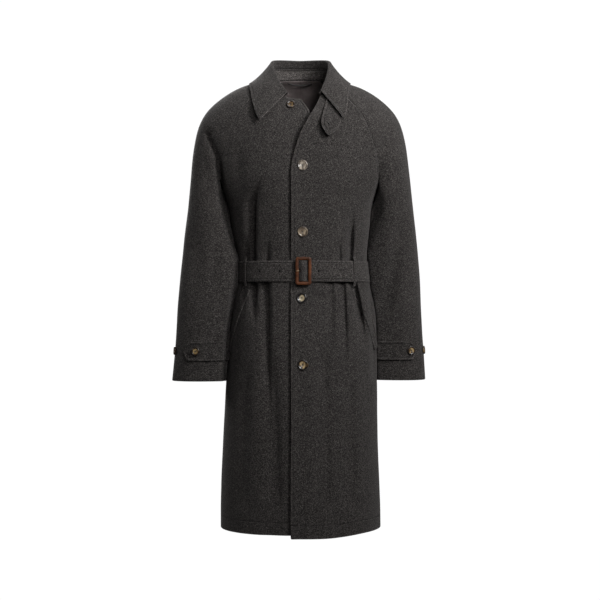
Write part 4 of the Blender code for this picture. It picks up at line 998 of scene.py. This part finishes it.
# The buttons: thick turned horn, dished inside a rounded rim, with four close holes sewn across in dark
# thread. Each is cut from a different part of the horn, from pale cream to nearly black.
BUTTON_STEPS = (
    # inset and rise of the face, as a share of the radius and in metres, from the outer edge inwards
    (0.05, 0.00130), (0.10, 0.00060), (0.09, -0.00015), (0.08, -0.00070), (0.06, -0.00030),
    (0.28, -0.00010), (0.05, -0.00032), (0.06, -0.00010),
)
BUTTON_BACK = (0.06, 0.30)
BUTTON_SIDE, HOLE_AWAY, HOLE_RADIUS = 0.0016, 0.00130, 0.00078
THREAD_LEVEL, THREAD_APART, THREAD_SIZE = 0.60, 0.00022, (0.0046, 0.0007, 0.0009)
POST_AWAY, POST_LEVEL, POST_LENGTH, POST_THICK = 0.0010, 0.0006, 0.0022, 0.0011
HORNS = (
    # button, the cloth it is sewn on, deep, middle and pale colour, share of pale, rim's darkness, part
    ("front_button_1", "front_right", (0.018, 0.010, 0.006), (0.12, 0.075, 0.035), (0.30, 0.21, 0.10),
     0.48, 0.4, 3.1),
    ("front_button_2", "front_left", (0.06, 0.05, 0.04), (0.27, 0.225, 0.18), (0.40, 0.345, 0.28),
     0.55, 0.2, 7.7),
    ("front_button_3", "front_left", (0.08, 0.06, 0.045), (0.24, 0.185, 0.13), (0.42, 0.34, 0.24),
     0.50, 0.2, 1.9),
    ("front_button_4", "front_left", (0.010, 0.008, 0.008), (0.12, 0.085, 0.05), (0.40, 0.33, 0.21),
     0.55, 1.6, 5.3),
    ("front_button_5", "front_left", (0.012, 0.008, 0.006), (0.20, 0.13, 0.06), (0.56, 0.42, 0.23),
     0.52, 0.6, 9.6),
    ("cuff_button_right_1", "cuff_strap_right", (0.02, 0.012, 0.007), (0.22, 0.13, 0.05), (0.46, 0.33, 0.16),
     0.50, 0.6, 12.4),
    ("cuff_button_right_2", "sleeve_right_front", (0.04, 0.02, 0.01), (0.28, 0.17, 0.07), (0.50, 0.37, 0.19),
     0.50, 0.4, 15.2),
    ("cuff_button_left_1", "cuff_strap_left", (0.02, 0.012, 0.008), (0.20, 0.12, 0.05), (0.46, 0.34, 0.17),
     0.50, 0.6, 18.8),
    ("cuff_button_left_2", "sleeve_left_front", (0.03, 0.02, 0.012), (0.26, 0.17, 0.08), (0.52, 0.41, 0.25),
     0.50, 0.4, 21.5),
)


def turned_button(name, radius, height):
    """A four-hole button lying face up at the origin, modelled from a disc."""
    bpy.ops.object.select_all(action="DESELECT")
    bpy.ops.mesh.primitive_cylinder_add(
        vertices=40, radius=radius, depth=BUTTON_SIDE, location=(0.0, 0.0, BUTTON_SIDE / 2)
    )
    disc = bpy.context.object
    disc.name = name
    bpy.ops.object.transform_apply(location=True, rotation=False, scale=False)
    bpy.ops.object.mode_set(mode="EDIT")
    bpy.ops.mesh.select_mode(type="FACE")

    def select_side(way):
        bpy.ops.mesh.select_all(action="DESELECT")
        bm = bmesh.from_edit_mesh(disc.data)
        for face in bm.faces:
            face.select_set(way * face.normal.z > 0.9)
        bmesh.update_edit_mesh(disc.data)

    select_side(-1)
    for share in BUTTON_BACK:
        bpy.ops.mesh.inset(thickness=share * radius)
    select_side(1)
    for share, rise in BUTTON_STEPS:
        bpy.ops.mesh.inset(thickness=share * radius)
        bpy.ops.transform.translate(value=(0.0, 0.0, rise))
    bpy.ops.object.mode_set(mode="OBJECT")
    round_off(disc, 1)
    for x, y in ((1, 1), (-1, 1), (-1, -1), (1, -1)):
        bpy.ops.mesh.primitive_cylinder_add(
            vertices=14, radius=HOLE_RADIUS, depth=0.02, location=(x * HOLE_AWAY, y * HOLE_AWAY, 0.0)
        )
        drill = bpy.context.object
        pick(disc)
        bpy.ops.object.modifier_add(type="BOOLEAN")
        disc.modifiers[-1].operation = "DIFFERENCE"
        disc.modifiers[-1].object = drill
        bpy.ops.object.modifier_apply(modifier=disc.modifiers[-1].name)
        bpy.data.objects.remove(drill)
    points = points_of(disc)
    points[:, 2] *= height / points[:, 2].max()
    move_to(disc, points)
    flat = disc.data.uv_layers.new(name="turned")
    for corner, loop in zip(flat.data, disc.data.loops):
        corner.uv = disc.data.vertices[loop.vertex_index].co.xy / radius
    disc.data.uv_layers.active = flat
    pick(disc)
    bpy.ops.object.shade_smooth_by_angle(angle=math.radians(42))
    return disc


def polished_horn(name, deep, middle, pale, share, dark_rim, part):
    """Mottled horn, its colour running in cloudy streaks across the disc, darker at the rim, polished."""
    horn, tree, shader = new_paint(name)
    where = laid_flat(tree, "turned")
    cut = {"Location": (part, part * 0.37, 0.0), "Rotation": (0.0, 0.0, part), "Scale": (1.0, 0.55, 1.0)}
    place = add_node(tree, "Mapping", {"Vector": where, **cut}).outputs[0]
    streaks = {"Vector": place, "Scale": 1.35, "Detail": 3.5, "Distortion": 0.9}
    clouds = add_node(tree, "TexNoise", streaks).outputs[0]
    ring = add_node(tree, "VectorMath")
    ring.operation = "LENGTH"
    plug(ring, {0: where})
    edge = {"Value": ring.outputs["Value"], "From Min": 0.50, "From Max": 0.80, "To Max": 0.42 * dark_rim}
    rim = add_node(tree, "MapRange", edge)
    rim.interpolation_type = "SMOOTHSTEP"
    shade = result_of(tree, "SUBTRACT", clouds, rim.outputs[0])
    centre = 1.0 - share
    stops = ((max(0.02, centre - 0.16), deep), (centre, middle), (min(0.98, centre + 0.09), pale))
    lines = add_node(tree, "TexNoise", {"Vector": place, "Scale": 26.0}).outputs[0]
    shine = add_node(tree, "MapRange", {"Value": lines, "To Min": 0.20, "To Max": 0.38})
    plug(shader, {
        "Base Color": add_ramp(tree, shade, *stops),
        "Roughness": shine.outputs[0],
        "Coat Weight": 0.45,
        "Coat Roughness": 0.12,
    })
    return horn


for node, cloth_name, deep, middle_tint, pale, share, dark_rim, part in HORNS:
    points = own_points(node)
    centre = points.mean(0)
    facing = Vector(np.linalg.eigh(np.cov((points - centre).T))[1][:, 0])
    cloth = bpy.data.objects[cloth_name + "_cloth"]
    below, cloth_normal, _, _ = face_side(cloth).find_nearest(Vector(centre))
    if facing.dot(cloth_normal) < 0:
        facing = -facing
    heights = points @ np.array(facing)
    thick = heights.max() - heights.min()
    across = points - centre - np.outer(heights - heights.mean(), np.array(facing))
    radius = np.linalg.norm(across, axis=1).max()
    foot = Vector(centre) + facing * (heights.min() - heights.mean())
    foot += Vector(sway(np.array([foot[:]]))[0])
    button = turned_button(node + "_horn", radius, thick)
    side = Vector((0.0, 0.0, 1.0)).cross(facing).normalized()
    seat = Matrix((side, facing.cross(side), facing)).transposed()
    button.data.transform(Matrix.Translation(foot) @ seat.to_4x4())
    horn = polished_horn(node + "_horn", deep, middle_tint, pale, share, dark_rim, part)
    button.data.materials.append(horn)
    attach(button, "root")
    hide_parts(node)
    bars = []
    for away in (-HOLE_AWAY, HOLE_AWAY):
        for offset in (-THREAD_APART, THREAD_APART):
            spot = foot + facing * thick * THREAD_LEVEL + seat @ Vector((0.0, away + offset, 0.0))
            bars.append(place_on(spot, side, facing, *THREAD_SIZE))
    post_length = POST_LENGTH + 2 * (foot - below).length
    for turn in np.linspace(0.0, 2 * math.pi, 6, endpoint=False):
        around = seat @ Vector((math.cos(turn), math.sin(turn), 0.0))
        post = foot + around * POST_AWAY + facing * POST_LEVEL
        bars.append(place_on(post, facing, side, post_length, POST_THICK, POST_THICK))
    stitch_at(node + "_thread", bars, charcoal_thread)

# The buttonholes: worked by hand across the left front at each button below the top one. Each runs from just
# behind its button's shank away from the opening.
HOLE_START, HOLE_END = -0.0030, 0.0158
left_front = bpy.data.objects["front_left_cloth"]
for k in (2, 3, 4, 5):
    centre = own_points("front_button_%d" % k).mean(0)
    place, normal = on_face(left_front, centre[0] + (HOLE_START + HOLE_END) / 2, centre[2])
    bound_hole("front_hole_%d" % k, place, (1.0, 0.0, 0.0), normal, HOLE_END - HOLE_START)

bpy.data.objects.remove(stitch_shape)
